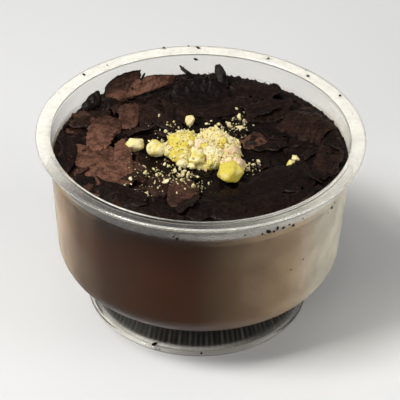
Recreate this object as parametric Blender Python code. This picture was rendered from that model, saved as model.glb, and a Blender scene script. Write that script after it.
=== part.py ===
"""Chocolate custard set in a clear footed dessert cup, under chocolate shavings and chopped pistachios.

Metres, +Z up. The cup stands on z = 0 with its axis on +Z, and the front of the serving faces -Y.
The custard follows the cup's inner face, the bed of shavings lies on the custard, the larger shavings
lie on the bed, and the nuts lie on a level seat in the bed's middle.
"""

import math
import random
from collections import namedtuple

import bmesh
import bpy
from mathutils import Euler, Vector, noise

MM = 0.001
GAP = 0.3 * MM
TURN_STEPS = 52

# Cup: a thin moulded shell with a flat rim, a nearly straight bowl and a hollow flared foot.
RIM_RADIUS = 47.5 * MM
RIM_HEIGHT = 56.8 * MM
RIM_THICKNESS = 1.1 * MM
RIM_EDGE_ROUND = 0.5 * MM
WALL = 0.8 * MM
WALL_TOP_RADIUS = 43.85 * MM
WALL_TOP_HEIGHT = 55.0 * MM
WALL_FOOT_RADIUS = 41.8 * MM
CORNER_RADIUS = 9.4 * MM
BOWL_UNDERSIDE = 12.1 * MM
CORNER_STEPS = 5
NECK_RADIUS = 26.7 * MM
NECK_HEIGHT = 11.2 * MM
FLARE_RADIUS = 31.3 * MM
FLARE_HEIGHT = 1.9 * MM
FLARE_CURVE = 1.3
FLARE_STEPS = 3
FOOT_RADIUS = 33.0 * MM
FOOT_LIP_HEIGHT = 0.9 * MM
FOOT_REST_OUTER = 32.7 * MM
FOOT_REST_INNER = 31.7 * MM

# Custard: set to a level well below the rim.
CUSTARD_TOP = 47.6 * MM

# Bed of shavings: the packed lower part of the topping, domed a little, with a level seat for the nuts.
BED_EDGE_HEIGHT = 1.4 * MM
BED_RISE = 1.1 * MM
BED_BUMP = 0.35 * MM
BED_BUMP_PITCH = 7.0 * MM
BED_RADIUS = 42.0 * MM
BED_EDGE_WAVE = 0.6 * MM
BED_LEVEL_SHARE = 0.45
BED_SEAT_EDGE = 2.0
BED_SEAT_FADE = 0.6
BED_RINGS = 5
BED_SECTORS = 40

# Shavings: thin curved slivers of chocolate, fused to the bed.
SHAVING_THICKNESS = 0.9 * MM
SHAVING_RAGGED_END = 0.36
SHAVING_RAGGED_SIDE = 0.44
SHAVING_SKEW = 0.5
SHAVING_TAPER = 0.22
LEAF_END_FLATNESS = 0.6
SLIGHT_BELLY = 0.5
SHAVING_COLUMNS = 3
SHAVING_ROWS = 2
FILLER_COLUMNS = 2
FILLER_ROWS = 1
LIMIT_RADIUS = 42.1 * MM
LIMIT_HEIGHT = 56.0 * MM
STEP_ASIDE = 0.5 * MM
STEPS_ASIDE = 14
FILLER_SEED = 31
FILLER_COUNT = 34
FILLER_REACH = 39.5
FRONT_RIGHT_SETTLE = 0.35

# Chopped pistachios: one heap of fused pieces, and single pieces that lie loose on the shavings.
HEAP_X = 1.0 * MM
HEAP_Y = -2.4 * MM
HEAP_HALF_X = 10.4 * MM
HEAP_HALF_Y = 8.2 * MM
HEAP_CORE_HEIGHT = 2.9 * MM
HEAP_CORE_SHARE = 0.96
HEAP_CRUMBS = 30
HEAP_CLEARANCE = 2.2 * MM
NUT_CORNERS = 12
NUT_BOXINESS = 4.0
NUT_SINK = 0.08
CRUMB_CORNERS = 9
CRUMB_TURN = 0.382
NUT_SEED = 12
GOLDEN_TURN = math.pi * (3.0 - math.sqrt(5.0))

Shaving = namedtuple("Shaving", "name x y lift length width heading pitch roll curl sweep")
Leaf = namedtuple("Leaf", "name near far belly")
Nut = namedtuple("Nut", "name x y lift size_x size_y size_z heading tip")

# Every length is in millimetres and every angle in degrees. lift is the height of the middle over the bed;
# pitch raises the far end, roll raises the left side, and curl and sweep bend across and along.
SHAVINGS = [
    Shaving("back_right_layer", 15.0, 30.0, 1.0, 14, 8, -12, 4, 14, 20, 10),
    Shaving("right_rough", 31.0, 13.0, 1.3, 16, 14, -24, 3, 8, -35, -12),
    Shaving("right_rim", 36.0, -4.5, 0.9, 15, 8, 80, 2, -7, -30, 0),
    Shaving("right_oval", 24.0, -14.5, 0.9, 14, 12, 30, 3, 5, -35, -12),
    Shaving("left_rim_a", -37.0, -2.0, 1.0, 13, 7, 96, 2, 18, 30, 0),
    Shaving("right_reddish", 15.5, 4.0, 0.7, 7, 6, 30, 3, 6, 20, 0),
    Shaving("right_back_a", 20.0, 20.0, 1.3, 15, 8, 18, 3, 16, 20, 10),
    Shaving("front_right_inner", 16.5, -19.0, 0.8, 11, 8, 35, 2, 6, 15, 0),
    Shaving("front_left_a", -22.5, -25.5, 1.2, 16, 8, -34, 0, 16, -20, 0),
    Shaving("front_left_b", -31.0, -22.0, 0.9, 13, 7, -52, 0, 14, 0, 0),
    Shaving("front_mid_a", 4.0, -30.0, 0.9, 17, 8, -6, 2, 8, -20, 8),
    Shaving("front_mid_b", -11.0, -35.0, 0.8, 15, 7, -14, 0, 14, 15, 0),
    Shaving("front_right_a", 18.0, -27.0, 0.9, 15, 9, 24, 2, 6, -25, 0),
    Shaving("front_right_b", 29.5, -24.0, 0.8, 13, 7, 42, 0, 6, 15, 0),
    Shaving("right_rim_b", 38.0, 7.0, 0.8, 10, 6, 108, 0, -10, 20, 0),
]

# The leaves of chocolate that stand out, each by three points along its near edge and three along its far
# edge, from left to right, as (x, y, height). belly is how far the middle bulges up.
LEAVES = [
    Leaf("dark_shoulder", ((-39.1, 10.1, 50.0), (-33.8, 9.6, 50.8), (-28.0, 12.2, 51.0)),
         ((-36.1, 17.3, 50.6), (-31.3, 18.0, 51.0), (-26.3, 18.2, 51.4)), 0.8),
    Leaf("petal_left", ((-28.8, 24.8, 50.6), (-25.1, 24.1, 50.6), (-20.4, 26.5, 50.8)),
         ((-29.2, 27.6, 53.0), (-25.4, 31.4, 55.0), (-18.2, 34.9, 55.5)), -1.6),
    Leaf("petal_right", ((-24.2, 24.3, 50.9), (-15.7, 29.2, 51.2), (-8.6, 33.6, 52.0)),
         ((-20.9, 31.0, 53.8), (-13.8, 32.9, 54.8), (-7.6, 32.9, 54.4)), -0.8),
    Leaf("upright_chip", ((-35.3, 19.0, 50.2), (-32.7, 19.9, 50.4), (-29.8, 22.0, 50.6)),
         ((-35.7, 20.8, 51.2), (-32.9, 23.8, 53.2), (-30.8, 24.3, 54.2)), 0.5),
    Leaf("dark_knob", ((-30.5, 18.4, 50.4), (-27.8, 17.7, 50.6), (-24.9, 20.2, 50.8)),
         ((-30.2, 23.5, 51.4), (-27.8, 23.2, 52.0), (-25.4, 23.6, 51.8)), 0.8),
    Leaf("edge_sliver", ((-40.5, 8.6, 49.7), (-39.9, 9.8, 50.0), (-39.3, 11.0, 50.3)),
         ((-40.2, 9.8, 50.8), (-39.5, 10.7, 51.3), (-38.7, 11.6, 51.6)), 0.0),
    Leaf("left_edge", ((-40.2, -6.2, 49.8), (-38.7, -10.4, 50.0), (-36.8, -13.6, 50.2)),
         ((-39.9, 5.7, 50.8), (-37.4, 2.6, 51.2), (-34.7, -2.9, 51.2)), 0.6),
    Leaf("brown_under", ((-32.9, 5.7, 51.0), (-28.1, 3.5, 51.2), (-23.3, 4.6, 51.3)),
         ((-31.9, 12.8, 51.6), (-28.2, 14.2, 51.8), (-23.7, 12.8, 51.8)), 0.4),
    Leaf("mauve_flake", ((-24.1, 9.6, 50.8), (-21.1, 8.9, 51.0), (-18.6, 10.8, 51.2)),
         ((-24.6, 19.6, 51.6), (-21.7, 20.4, 52.2), (-18.6, 19.7, 52.4)), 0.5),
    Leaf("pale_plate", ((-33.2, 1.2, 51.6), (-30.3, -4.1, 51.8), (-26.1, -0.9, 52.2)),
         ((-32.8, 7.9, 52.0), (-29.0, 8.8, 52.2), (-24.5, 6.1, 52.4)), 0.4),
    Leaf("broken_left", ((-37.3, -7.4, 50.0), (-31.3, -11.5, 50.6), (-23.0, -11.5, 51.2)),
         ((-36.7, 0.9, 51.0), (-30.8, -1.0, 51.4), (-23.5, -1.3, 51.8)), 0.3),
    Leaf("striped_left", ((-34.0, -12.4, 50.5), (-27.0, -20.8, 50.8), (-18.4, -18.8, 51.0)),
         ((-33.6, -6.6, 51.0), (-26.9, -8.1, 51.5), (-18.8, -11.8, 51.6)), 0.7),
    Leaf("grooved_left", ((-23.9, -17.4, 51.2), (-21.2, -19.5, 51.4), (-18.5, -17.3, 51.3)),
         ((-25.0, -1.4, 52.2), (-22.2, 0.8, 52.5), (-19.9, -3.6, 52.2)), 0.5),
    Leaf("brown_middle", ((-20.5, -13.0, 50.6), (-17.5, -14.0, 50.7), (-14.5, -12.0, 50.7)),
         ((-20.3, -8.6, 51.4), (-18.9, -8.2, 51.6), (-17.4, -9.4, 51.4)), 0.3),
    Leaf("slat_left", ((-18.3, 10.4, 50.8), (-15.6, 11.2, 51.0), (-13.7, 13.2, 51.2)),
         ((-19.3, 21.4, 52.0), (-16.3, 19.6, 52.2), (-12.9, 16.8, 52.0)), 0.3),
    Leaf("slat_middle", ((-15.1, 13.1, 51.2), (-12.1, 10.0, 51.2), (-8.5, 7.6, 51.2)),
         ((-16.0, 20.7, 52.2), (-11.7, 15.9, 52.3), (-6.8, 11.0, 51.8)), 0.3),
    Leaf("slat_right", ((-11.5, 20.8, 51.2), (-8.7, 15.5, 51.2), (-4.5, 11.2, 51.0)),
         ((-12.6, 25.0, 52.0), (-8.3, 20.0, 52.2), (-3.4, 15.4, 51.8)), 0.3),
    Leaf("back_slab", ((-7.6, 17.8, 50.8), (4.0, 16.7, 50.8), (16.2, 22.2, 50.8)),
         ((-8.9, 22.8, 51.4), (3.0, 21.9, 52.0), (15.3, 27.0, 51.6)), 0.5),
    Leaf("back_curl", ((-9.2, 23.6, 50.9), (-0.5, 21.6, 51.0), (8.1, 25.3, 51.0)),
         ((-8.5, 28.8, 54.0), (-1.3, 30.6, 55.0), (7.4, 29.8, 54.2)), -1.0),
    Leaf("back_stick", ((-6.6, 37.9, 53.8), (-3.0, 35.6, 51.8), (0.8, 33.6, 50.0)),
         ((-7.0, 39.3, 54.6), (-2.7, 36.6, 52.8), (1.4, 34.6, 50.8)), 0.0),
    Leaf("back_upright", ((4.4, 33.4, 49.9), (6.0, 32.6, 49.9), (8.1, 33.6, 49.9)),
         ((3.6, 38.3, 54.8), (5.1, 38.8, 55.4), (6.9, 36.2, 54.4)), 0.2),
    Leaf("right_tip", ((21.1, 30.3, 49.9), (22.9, 29.2, 49.9), (24.7, 29.5, 49.9)),
         ((21.7, 31.4, 51.8), (22.7, 31.5, 53.4), (23.8, 31.0, 51.8)), 0.2),
    Leaf("front_mauve", ((-9.2, -27.6, 50.4), (-4.5, -28.9, 50.5), (0.2, -26.5, 50.6)),
         ((-8.6, -18.0, 51.4), (-4.5, -16.6, 51.6), (-0.5, -18.9, 51.3)), 0.6),
    Leaf("front_olive", ((-14.7, -22.4, 50.6), (-11.5, -23.7, 50.6), (-8.2, -22.3, 50.7)),
         ((-14.3, -16.0, 51.2), (-11.3, -14.5, 51.3), (-7.9, -15.8, 51.3)), 0.4),
    Leaf("front_dark", ((-26.5, -24.8, 50.2), (-20.8, -27.5, 50.3), (-14.7, -28.6, 50.3)),
         ((-25.1, -20.1, 51.0), (-20.0, -21.6, 51.2), (-14.3, -23.2, 51.2)), 0.5),
    Leaf("front_smooth", ((1.7, -30.1, 50.2), (9.1, -29.3, 50.2), (17.5, -25.2, 50.2)),
         ((1.5, -21.6, 51.0), (7.9, -21.8, 51.2), (15.8, -19.6, 51.0)), 0.6),
]

# The single pieces on the shavings, then the larger pieces of the heap. heading turns a piece and tip leans
# it back.
LOOSE_NUTS = [
    Nut("left_cream", -19.1, -1.6, 4.4, 5.6, 4.4, 4.4, -12, 14),
    Nut("top_small", -3.4, 13.2, 3.0, 3.4, 3.4, 3.8, 30, 0),
    Nut("top_right_small", 10.9, 10.0, 1.8, 4.2, 2.4, 1.8, 12, 0),
    Nut("far_right_a", 27.2, -4.4, 2.0, 2.2, 2.8, 2.4, 20, 0),
    Nut("far_right_b", 25.8, -7.4, 2.0, 1.9, 3.2, 2.4, -30, 0),
]
HEAP_NUTS = [
    Nut("front_right_chunk", 8.4, -14.8, 0.0, 7.6, 9.2, 6.0, 20, -12),
    Nut("chunk_skin", 10.4, -11.8, 0.0, 5.2, 5.2, 5.8, -20, -8),
    Nut("left_green", -12.6, -3.8, 0.0, 7.4, 5.6, 4.8, -28, 10),
    Nut("left_joint", -8.8, -4.4, 0.0, 5.0, 4.8, 3.8, 12, 0),
    Nut("left_tall", -4.9, -0.6, 0.2, 9.8, 8.6, 5.6, 15, -8),
    Nut("left_front", -6.2, -6.2, 0.0, 7.6, 5.8, 4.4, -10, 5),
    Nut("middle", 0.2, -3.0, 0.8, 5.0, 5.2, 4.8, 40, 0),
    Nut("front_pale", -1.0, -7.8, 0.0, 6.2, 5.2, 5.0, 8, 18),
    Nut("front_right_small", 3.8, -9.0, 0.0, 4.8, 4.2, 3.2, 25, 0),
    Nut("front_left", -5.0, -9.4, 0.0, 4.6, 3.8, 2.8, 0, 0),
    Nut("back_tall", 4.0, 2.2, 0.2, 8.2, 7.6, 5.8, -15, 0),
    Nut("back_left", -5.6, 4.4, 0.0, 5.6, 3.8, 3.2, 10, 0),
    Nut("right_middle", 3.4, -5.6, 0.2, 7.2, 7.4, 5.2, 30, 0),
    Nut("right_lobe", 8.9, -3.9, 0.0, 5.6, 5.8, 4.6, -20, 0),
    Nut("right_back", 7.8, 0.6, 0.0, 5.0, 4.8, 4.2, 10, 0),
    Nut("right_front", 8.0, -8.4, 0.0, 6.2, 5.6, 3.6, 5, 0),
]


def clear_scene():
    for thing in list(bpy.data.objects):
        bpy.data.objects.remove(thing, do_unlink=True)


def finish(name, colour, roughness, transmission=0.0):
    material = bpy.data.materials.new(name)
    material.use_nodes = True
    shader = material.node_tree.nodes["Principled BSDF"]
    shader.inputs["Base Color"].default_value = (*colour, 1.0)
    shader.inputs["Roughness"].default_value = roughness
    shader.inputs["Metallic"].default_value = 0.0
    shader.inputs["Transmission Weight"].default_value = transmission
    return material


def add_object(name, mesh, material):
    thing = bpy.data.objects.new(name, mesh)
    bpy.context.scene.collection.objects.link(thing)
    mesh.materials.clear()
    mesh.materials.append(material)
    return thing


def arc(centre_r, centre_z, radius, start, end, steps):
    """Points of an arc in the (radius, height) plane, from one angle to another in degrees."""
    points = []
    for i in range(steps + 1):
        angle = math.radians(start + (end - start) * i / steps)
        points.append((centre_r + radius * math.cos(angle), centre_z + radius * math.sin(angle)))
    return points


def wall_radius(height):
    """Outer radius of the bowl above its rounded corner, a straight taper."""
    corner_height = BOWL_UNDERSIDE + CORNER_RADIUS
    share = (height - corner_height) / (WALL_TOP_HEIGHT - corner_height)
    return WALL_FOOT_RADIUS + (WALL_TOP_RADIUS - WALL_FOOT_RADIUS) * share


def flare_radius(height):
    """Outer radius of the foot between its neck and its lip."""
    share = (NECK_HEIGHT - height) / (NECK_HEIGHT - FLARE_HEIGHT)
    return NECK_RADIUS + (FLARE_RADIUS - NECK_RADIUS) * share ** FLARE_CURVE


def bowl_corner(inset, start, end):
    """The bowl's lower corner, moved in from the outer face by the inset."""
    centre_r = WALL_FOOT_RADIUS - CORNER_RADIUS
    centre_z = BOWL_UNDERSIDE + CORNER_RADIUS
    return arc(centre_r, centre_z, CORNER_RADIUS - inset, start, end, CORNER_STEPS)


def turn(name, outline, material):
    """A closed solid of revolution from an outline that starts and ends on the axis."""
    mesh = bpy.data.meshes.new(name)
    vertices = [(radius, 0.0, height) for radius, height in outline]
    edges = [(i, i + 1) for i in range(len(outline) - 1)]
    mesh.from_pydata(vertices, edges, [])
    thing = add_object(name, mesh, material)
    screw = thing.modifiers.new("turn", "SCREW")
    screw.axis = "Z"
    screw.angle = math.tau
    screw.steps = TURN_STEPS
    screw.render_steps = TURN_STEPS
    screw.use_merge_vertices = True
    screw.merge_threshold = 0.00001
    screw.use_smooth_shade = True
    return thing


def build_cup():
    """The shell's outline runs up the inside, over the rim and down the outside to the hollow foot."""
    inner_floor = BOWL_UNDERSIDE + WALL
    lip_underside = RIM_HEIGHT - RIM_THICKNESS
    mouth_radius = wall_radius(RIM_HEIGHT) - WALL
    outline = [(0.0, inner_floor)]
    outline += bowl_corner(WALL, -90, 0)
    outline += arc(
        mouth_radius + RIM_EDGE_ROUND, RIM_HEIGHT - RIM_EDGE_ROUND, RIM_EDGE_ROUND, 180, 90, 3
    )
    rim_middle = RIM_HEIGHT - RIM_THICKNESS / 2
    outline += arc(RIM_RADIUS - RIM_EDGE_ROUND, rim_middle, RIM_EDGE_ROUND, 80, -80, 4)
    outline.append((WALL_TOP_RADIUS + RIM_EDGE_ROUND, lip_underside))
    outline.append((WALL_TOP_RADIUS, WALL_TOP_HEIGHT))
    outline += bowl_corner(0.0, 0, -90)
    outline.append((NECK_RADIUS + RIM_EDGE_ROUND, BOWL_UNDERSIDE))
    outer_foot = []
    for i in range(FLARE_STEPS + 1):
        height = NECK_HEIGHT + (FLARE_HEIGHT - NECK_HEIGHT) * i / FLARE_STEPS
        outer_foot.append((flare_radius(height), height))
    outline += outer_foot
    outline.append((FOOT_RADIUS - RIM_EDGE_ROUND, (FLARE_HEIGHT + FOOT_LIP_HEIGHT) / 2))
    outline.append((FOOT_RADIUS, FOOT_LIP_HEIGHT))
    outline.append((FOOT_REST_OUTER, 0.0))
    outline.append((FOOT_REST_INNER, 0.0))
    outline += [(radius - WALL, height) for radius, height in reversed(outer_foot)]
    outline.append((NECK_RADIUS - WALL, BOWL_UNDERSIDE))
    outline.append((0.0, BOWL_UNDERSIDE))
    clear_plastic = finish("clear_plastic", (0.93, 0.93, 0.91), 0.12, transmission=0.9)
    return turn("cup", outline, clear_plastic)


def build_custard():
    bottom = BOWL_UNDERSIDE + WALL + GAP
    inset = WALL + GAP
    outline = [(0.0, CUSTARD_TOP), (wall_radius(CUSTARD_TOP) - inset, CUSTARD_TOP)]
    outline += bowl_corner(inset, 0, -90)
    outline.append((0.0, bottom))
    return turn("custard", outline, finish("chocolate_custard", (0.055, 0.026, 0.016), 0.45))


def bed_height(x, y):
    """Height of the top of the packed shavings: a low dome with bumps that die out under the nuts."""
    share = min(1.0, math.hypot(x, y) / BED_RADIUS)
    slope = max(0.0, share - BED_LEVEL_SHARE) / (1.0 - BED_LEVEL_SHARE)
    dome = BED_RISE * (1.0 - slope * slope)
    from_heap = math.hypot((x - HEAP_X) / HEAP_HALF_X, (y - HEAP_Y) / HEAP_HALF_Y)
    bump_share = min(1.0, max(0.0, (from_heap - BED_SEAT_EDGE) / BED_SEAT_FADE))
    bump = noise.noise(Vector((x / BED_BUMP_PITCH, y / BED_BUMP_PITCH, 3.0)))
    return CUSTARD_TOP + GAP + BED_EDGE_HEIGHT + dome + BED_BUMP * bump * bump_share


def build_bed(material):
    """The bed as stacked rings: a flat underside and a bumpy top with an uneven edge."""
    shape = bmesh.new()
    underside = CUSTARD_TOP + GAP
    rings = []
    for ring in range(1, BED_RINGS + 1):
        verts = []
        for sector in range(BED_SECTORS):
            angle = math.tau * sector / BED_SECTORS
            wave = noise.noise(Vector((math.cos(angle) * 2.0, math.sin(angle) * 2.0, 9.0)))
            radius = BED_RADIUS * ring / BED_RINGS
            if ring == BED_RINGS:
                radius += BED_EDGE_WAVE * (wave - 0.5) - GAP
            x = radius * math.cos(angle)
            y = radius * math.sin(angle)
            verts.append(shape.verts.new((x, y, bed_height(x, y))))
        rings.append(verts)
    outer = [shape.verts.new((vert.co.x, vert.co.y, underside)) for vert in rings[-1]]
    rings.append(outer)
    middle_top = shape.verts.new((0.0, 0.0, bed_height(0.0, 0.0)))
    for i in range(BED_SECTORS):
        j = (i + 1) % BED_SECTORS
        shape.faces.new((middle_top, rings[0][i], rings[0][j]))
        for inner, outer_ring in zip(rings, rings[1:]):
            shape.faces.new((inner[i], outer_ring[i], outer_ring[j], inner[j]))
    shape.faces.new(list(reversed(outer)))
    mesh = bpy.data.meshes.new("chocolate_shavings")
    shape.to_mesh(mesh)
    shape.free()
    return add_object("chocolate_shavings", mesh, material)


def shaving_points(spec, columns, rows):
    """The middle surface of one shaving, as rows of points in place."""
    half_length = spec.length * MM / 2
    half_width = spec.width * MM / 2
    turn_to_place = Euler(
        (math.radians(spec.roll), -math.radians(spec.pitch), math.radians(spec.heading)), "XYZ"
    )
    middle = Vector((spec.x * MM, spec.y * MM, 0.0))
    middle.z = bed_height(middle.x, middle.y) + spec.lift * MM
    curl = math.radians(spec.curl) / 2
    sweep = math.radians(spec.sweep) / 2
    key = spec.x * 0.37 + spec.y * 0.61
    skew = SHAVING_SKEW * noise.noise(Vector((key, 8.5, 2.5)))
    points = []
    for column in range(columns + 1):
        s = 2.0 * column / columns - 1.0
        line = []
        for row in range(rows + 1):
            t = 2.0 * row / rows - 1.0
            ragged_end = 1.0 + SHAVING_RAGGED_END * noise.noise(Vector((key, t * 1.3, s)))
            ragged_side = 1.0 + SHAVING_RAGGED_SIDE * noise.noise(Vector((s * 2.3, key, 5.0 + t)))
            along = half_length * (s * ragged_end + skew * t)
            across = t * half_width * ragged_side * (1.0 - SHAVING_TAPER * abs(s) ** 3)
            rise = 0.0
            if abs(curl) > 0.01:
                bend_radius = half_width / curl
                rise += bend_radius * (1.0 - math.cos(across / bend_radius))
                across = bend_radius * math.sin(across / bend_radius)
            if abs(sweep) > 0.01:
                bend_radius = half_length / sweep
                rise += bend_radius * (1.0 - math.cos(along / bend_radius))
            line.append(Vector((along, across, rise)))
        points.append(line)
    flat = [point for line in points for point in line]
    balance = sum(point.z for point in flat) / len(flat)
    for point in flat:
        point.z -= balance
        point.rotate(turn_to_place)
        point += middle
    return points, flat


def hold_back(flat):
    """Slides, lowers and flattens a shaving's points until they clear the cup's wall, rim and the custard."""
    reach = max(flat, key=lambda point: math.hypot(point.x, point.y))
    excess = math.hypot(reach.x, reach.y) - (LIMIT_RADIUS - SHAVING_THICKNESS / 2)
    if excess > 0.0:
        inward = Vector((-reach.x, -reach.y, 0.0)).normalized() * excess
        for point in flat:
            point += inward
    top = max(point.z for point in flat) - (LIMIT_HEIGHT - SHAVING_THICKNESS / 2)
    lowest = CUSTARD_TOP + GAP + SHAVING_THICKNESS
    for point in flat:
        point.z = max(point.z - max(0.0, top), lowest)


def heap_distance(x, y):
    """How far a place is outside the nuts' footprint, as a share of its half sizes; under 1 is inside."""
    return math.hypot(
        (x - HEAP_X) / (HEAP_HALF_X + HEAP_CLEARANCE), (y - HEAP_Y) / (HEAP_HALF_Y + HEAP_CLEARANCE)
    )


def crosses_heap(flat):
    for point in flat:
        near_nut = any(
            math.hypot(point.x - nut.x * MM, point.y - nut.y * MM)
            < max(nut.size_x, nut.size_y) * MM / 2 + SHAVING_THICKNESS
            for nut in HEAP_NUTS
        )
        if near_nut or heap_distance(point.x, point.y) < 1.0:
            return True
    return False


def step_clear_of_heap(flat):
    """Moves a shaving straight away from the nuts, a few millimetres at most. False if that isn't enough."""
    centre = sum(flat, Vector()) / len(flat)
    away = Vector((centre.x - HEAP_X, centre.y - HEAP_Y, 0.0)).normalized() * STEP_ASIDE
    for _ in range(STEPS_ASIDE):
        if not crosses_heap(flat):
            return True
        for point in flat:
            point += away
    return False


def add_shaving(spec, columns, rows, collection):
    """One shaving, or nothing where it can't lie clear."""
    points, flat = shaving_points(spec, columns, rows)
    if not step_clear_of_heap(flat):
        return
    hold_back(flat)
    if not crosses_heap(flat):
        add_sheet(spec.name, points, collection)


def through(ends, s):
    """The point at s, from -1 to 1, on the curve through three points."""
    left, middle, right = (Vector(end) * MM for end in ends)
    return left * (s * (s - 1.0) / 2.0) + middle * (1.0 - s * s) + right * (s * (s + 1.0) / 2.0)


def add_leaf(leaf, columns, rows, collection):
    """One leaf, between its near and far edges."""
    side = through(leaf.near, 1.0) - through(leaf.near, -1.0)
    reach = through(leaf.far, 0.0) - through(leaf.near, 0.0)
    upward = side.cross(reach).normalized()
    points = []
    for column in range(columns + 1):
        s = 2.0 * column / columns - 1.0
        near = through(leaf.near, s)
        far = through(leaf.far, s)
        line = []
        for row in range(rows + 1):
            t = 2.0 * row / rows - 1.0
            bulge = leaf.belly * MM * (1.0 - t * t) * (1.0 - LEAF_END_FLATNESS * s * s)
            line.append(near + (far - near) * row / rows + upward * bulge)
        points.append(line)
    hold_back([point for line in points for point in line])
    add_sheet(leaf.name, points, collection)


def add_sheet(name, points, collection):
    """A curved sheet through rows of points, given its thickness."""
    shape = bmesh.new()
    lines = [[shape.verts.new(point) for point in line] for line in points]
    for line, after in zip(lines, lines[1:]):
        for j in range(len(line) - 1):
            shape.faces.new((line[j], after[j], after[j + 1], line[j + 1]))
    mesh = bpy.data.meshes.new(name)
    shape.to_mesh(mesh)
    shape.free()
    thing = bpy.data.objects.new(name, mesh)
    collection.objects.link(thing)
    shell = thing.modifiers.new("thickness", "SOLIDIFY")
    shell.thickness = SHAVING_THICKNESS
    shell.offset = 0.0
    shell.use_even_offset = True


def filler_shavings():
    """Smaller shavings strewn evenly between the large ones, lying flatter at the front right."""
    draw = random.Random(FILLER_SEED)
    fillers = []
    for i in range(FILLER_COUNT):
        radius = FILLER_REACH * math.sqrt((i + 0.7) / FILLER_COUNT)
        angle = GOLDEN_TURN * i + draw.uniform(-0.3, 0.3)
        x = radius * math.cos(angle)
        y = radius * math.sin(angle)
        settle = FRONT_RIGHT_SETTLE if x > 0.0 and y < 8.0 else 1.0
        length = draw.uniform(6.0, 10.0)
        width = length * draw.uniform(0.45, 0.75)
        lift = 0.5 + draw.uniform(0.0, 0.8) * settle
        heading = draw.uniform(0.0, 180.0)
        pitch = draw.uniform(-12.0, 12.0) * settle
        roll = draw.uniform(-28.0, 28.0) * settle
        curl = draw.uniform(-40.0, 40.0) * settle
        fillers.append(
            Shaving("filler_%d" % i, x, y, lift, length, width, heading, pitch, roll, curl, 0.0)
        )
    return fillers


def nut_lump(nut, centre, floor_height, corners, draw, collection):
    """One chopped piece: flat cut faces between corners drawn on a boxy lump, turned and tipped."""
    shape = bmesh.new()
    half = Vector((nut.size_x, nut.size_y, nut.size_z)) * (MM / 2)
    turn_to_place = Euler((math.radians(nut.tip), 0.0, math.radians(nut.heading)))
    for i in range(corners):
        level = 1.0 - 2.0 * (i + 0.5) / corners
        angle = GOLDEN_TURN * i + draw.uniform(-0.35, 0.35)
        ring = math.sqrt(1.0 - level * level)
        place = Vector((math.cos(angle) * ring, math.sin(angle) * ring, level))
        place *= sum(abs(part) ** NUT_BOXINESS for part in place) ** (-1.0 / NUT_BOXINESS)
        place = place * half * draw.uniform(0.84, 1.04)
        place.rotate(turn_to_place)
        corner = centre + place
        if floor_height is not None:
            corner.z = max(corner.z, floor_height)
        shape.verts.new(corner)
    hull = bmesh.ops.convex_hull(shape, input=shape.verts[:])
    unused = [item for item in hull["geom_interior"] if isinstance(item, bmesh.types.BMVert)]
    bmesh.ops.delete(shape, geom=unused, context="VERTS")
    mesh = bpy.data.meshes.new(nut.name)
    shape.to_mesh(mesh)
    shape.free()
    thing = bpy.data.objects.new(nut.name, mesh)
    collection.objects.link(thing)


def fuse(core, collection):
    """Joins the collection's pieces to the core, keeps the one outer skin and removes the pieces."""
    union = core.modifiers.new("fuse", "BOOLEAN")
    union.operation = "UNION"
    union.operand_type = "COLLECTION"
    union.collection = collection
    union.solver = "EXACT"
    bpy.context.view_layer.update()
    evaluated = core.evaluated_get(bpy.context.evaluated_depsgraph_get())
    fused = bpy.data.meshes.new_from_object(evaluated)
    core.modifiers.clear()
    material = core.data.materials[0]
    core.data = fused
    fused.materials.clear()
    fused.materials.append(material)
    for thing in list(collection.objects):
        bpy.data.objects.remove(thing, do_unlink=True)
    bpy.data.collections.remove(collection)
    keep_outer_skin(fused)


def keep_outer_skin(mesh):
    """Drops loose scraps and fills sealed hollows by keeping only the largest skin."""
    shape = bmesh.new()
    shape.from_mesh(mesh)
    bmesh.ops.triangulate(shape, faces=shape.faces[:])
    unseen = set(shape.faces)
    skins = []
    while unseen:
        skin = set()
        frontier = [unseen.pop()]
        while frontier:
            face = frontier.pop()
            skin.add(face)
            for edge in face.edges:
                for neighbour in edge.link_faces:
                    if neighbour in unseen:
                        unseen.discard(neighbour)
                        frontier.append(neighbour)
        skins.append(skin)
    largest = max(skins, key=len)
    doomed = [face for face in shape.faces if face not in largest]
    bmesh.ops.delete(shape, geom=doomed, context="FACES")
    shape.to_mesh(mesh)
    shape.free()
    mesh.shade_smooth()
    mesh.set_sharp_from_angle(angle=math.radians(30.0))


def build_shavings():
    bed = build_bed(finish("dark_chocolate", (0.035, 0.018, 0.013), 0.55))
    pieces = bpy.data.collections.new("shaving_pieces")
    bpy.context.scene.collection.children.link(pieces)
    for spec in SHAVINGS:
        add_shaving(spec, SHAVING_COLUMNS, SHAVING_ROWS, pieces)
    for leaf in LEAVES:
        bulged = abs(leaf.belly) > SLIGHT_BELLY
        add_leaf(leaf, SHAVING_COLUMNS + bulged, SHAVING_ROWS, pieces)
    for spec in filler_shavings():
        add_shaving(spec, FILLER_COLUMNS, FILLER_ROWS, pieces)
    draw = random.Random(NUT_SEED)
    for nut in LOOSE_NUTS:
        x = nut.x * MM
        y = nut.y * MM
        centre = Vector((x, y, bed_height(x, y) + nut.lift * MM - nut.size_z * MM / 2))
        nut_lump(nut, centre, None, NUT_CORNERS, draw, pieces)
    fuse(bed, pieces)


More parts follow.
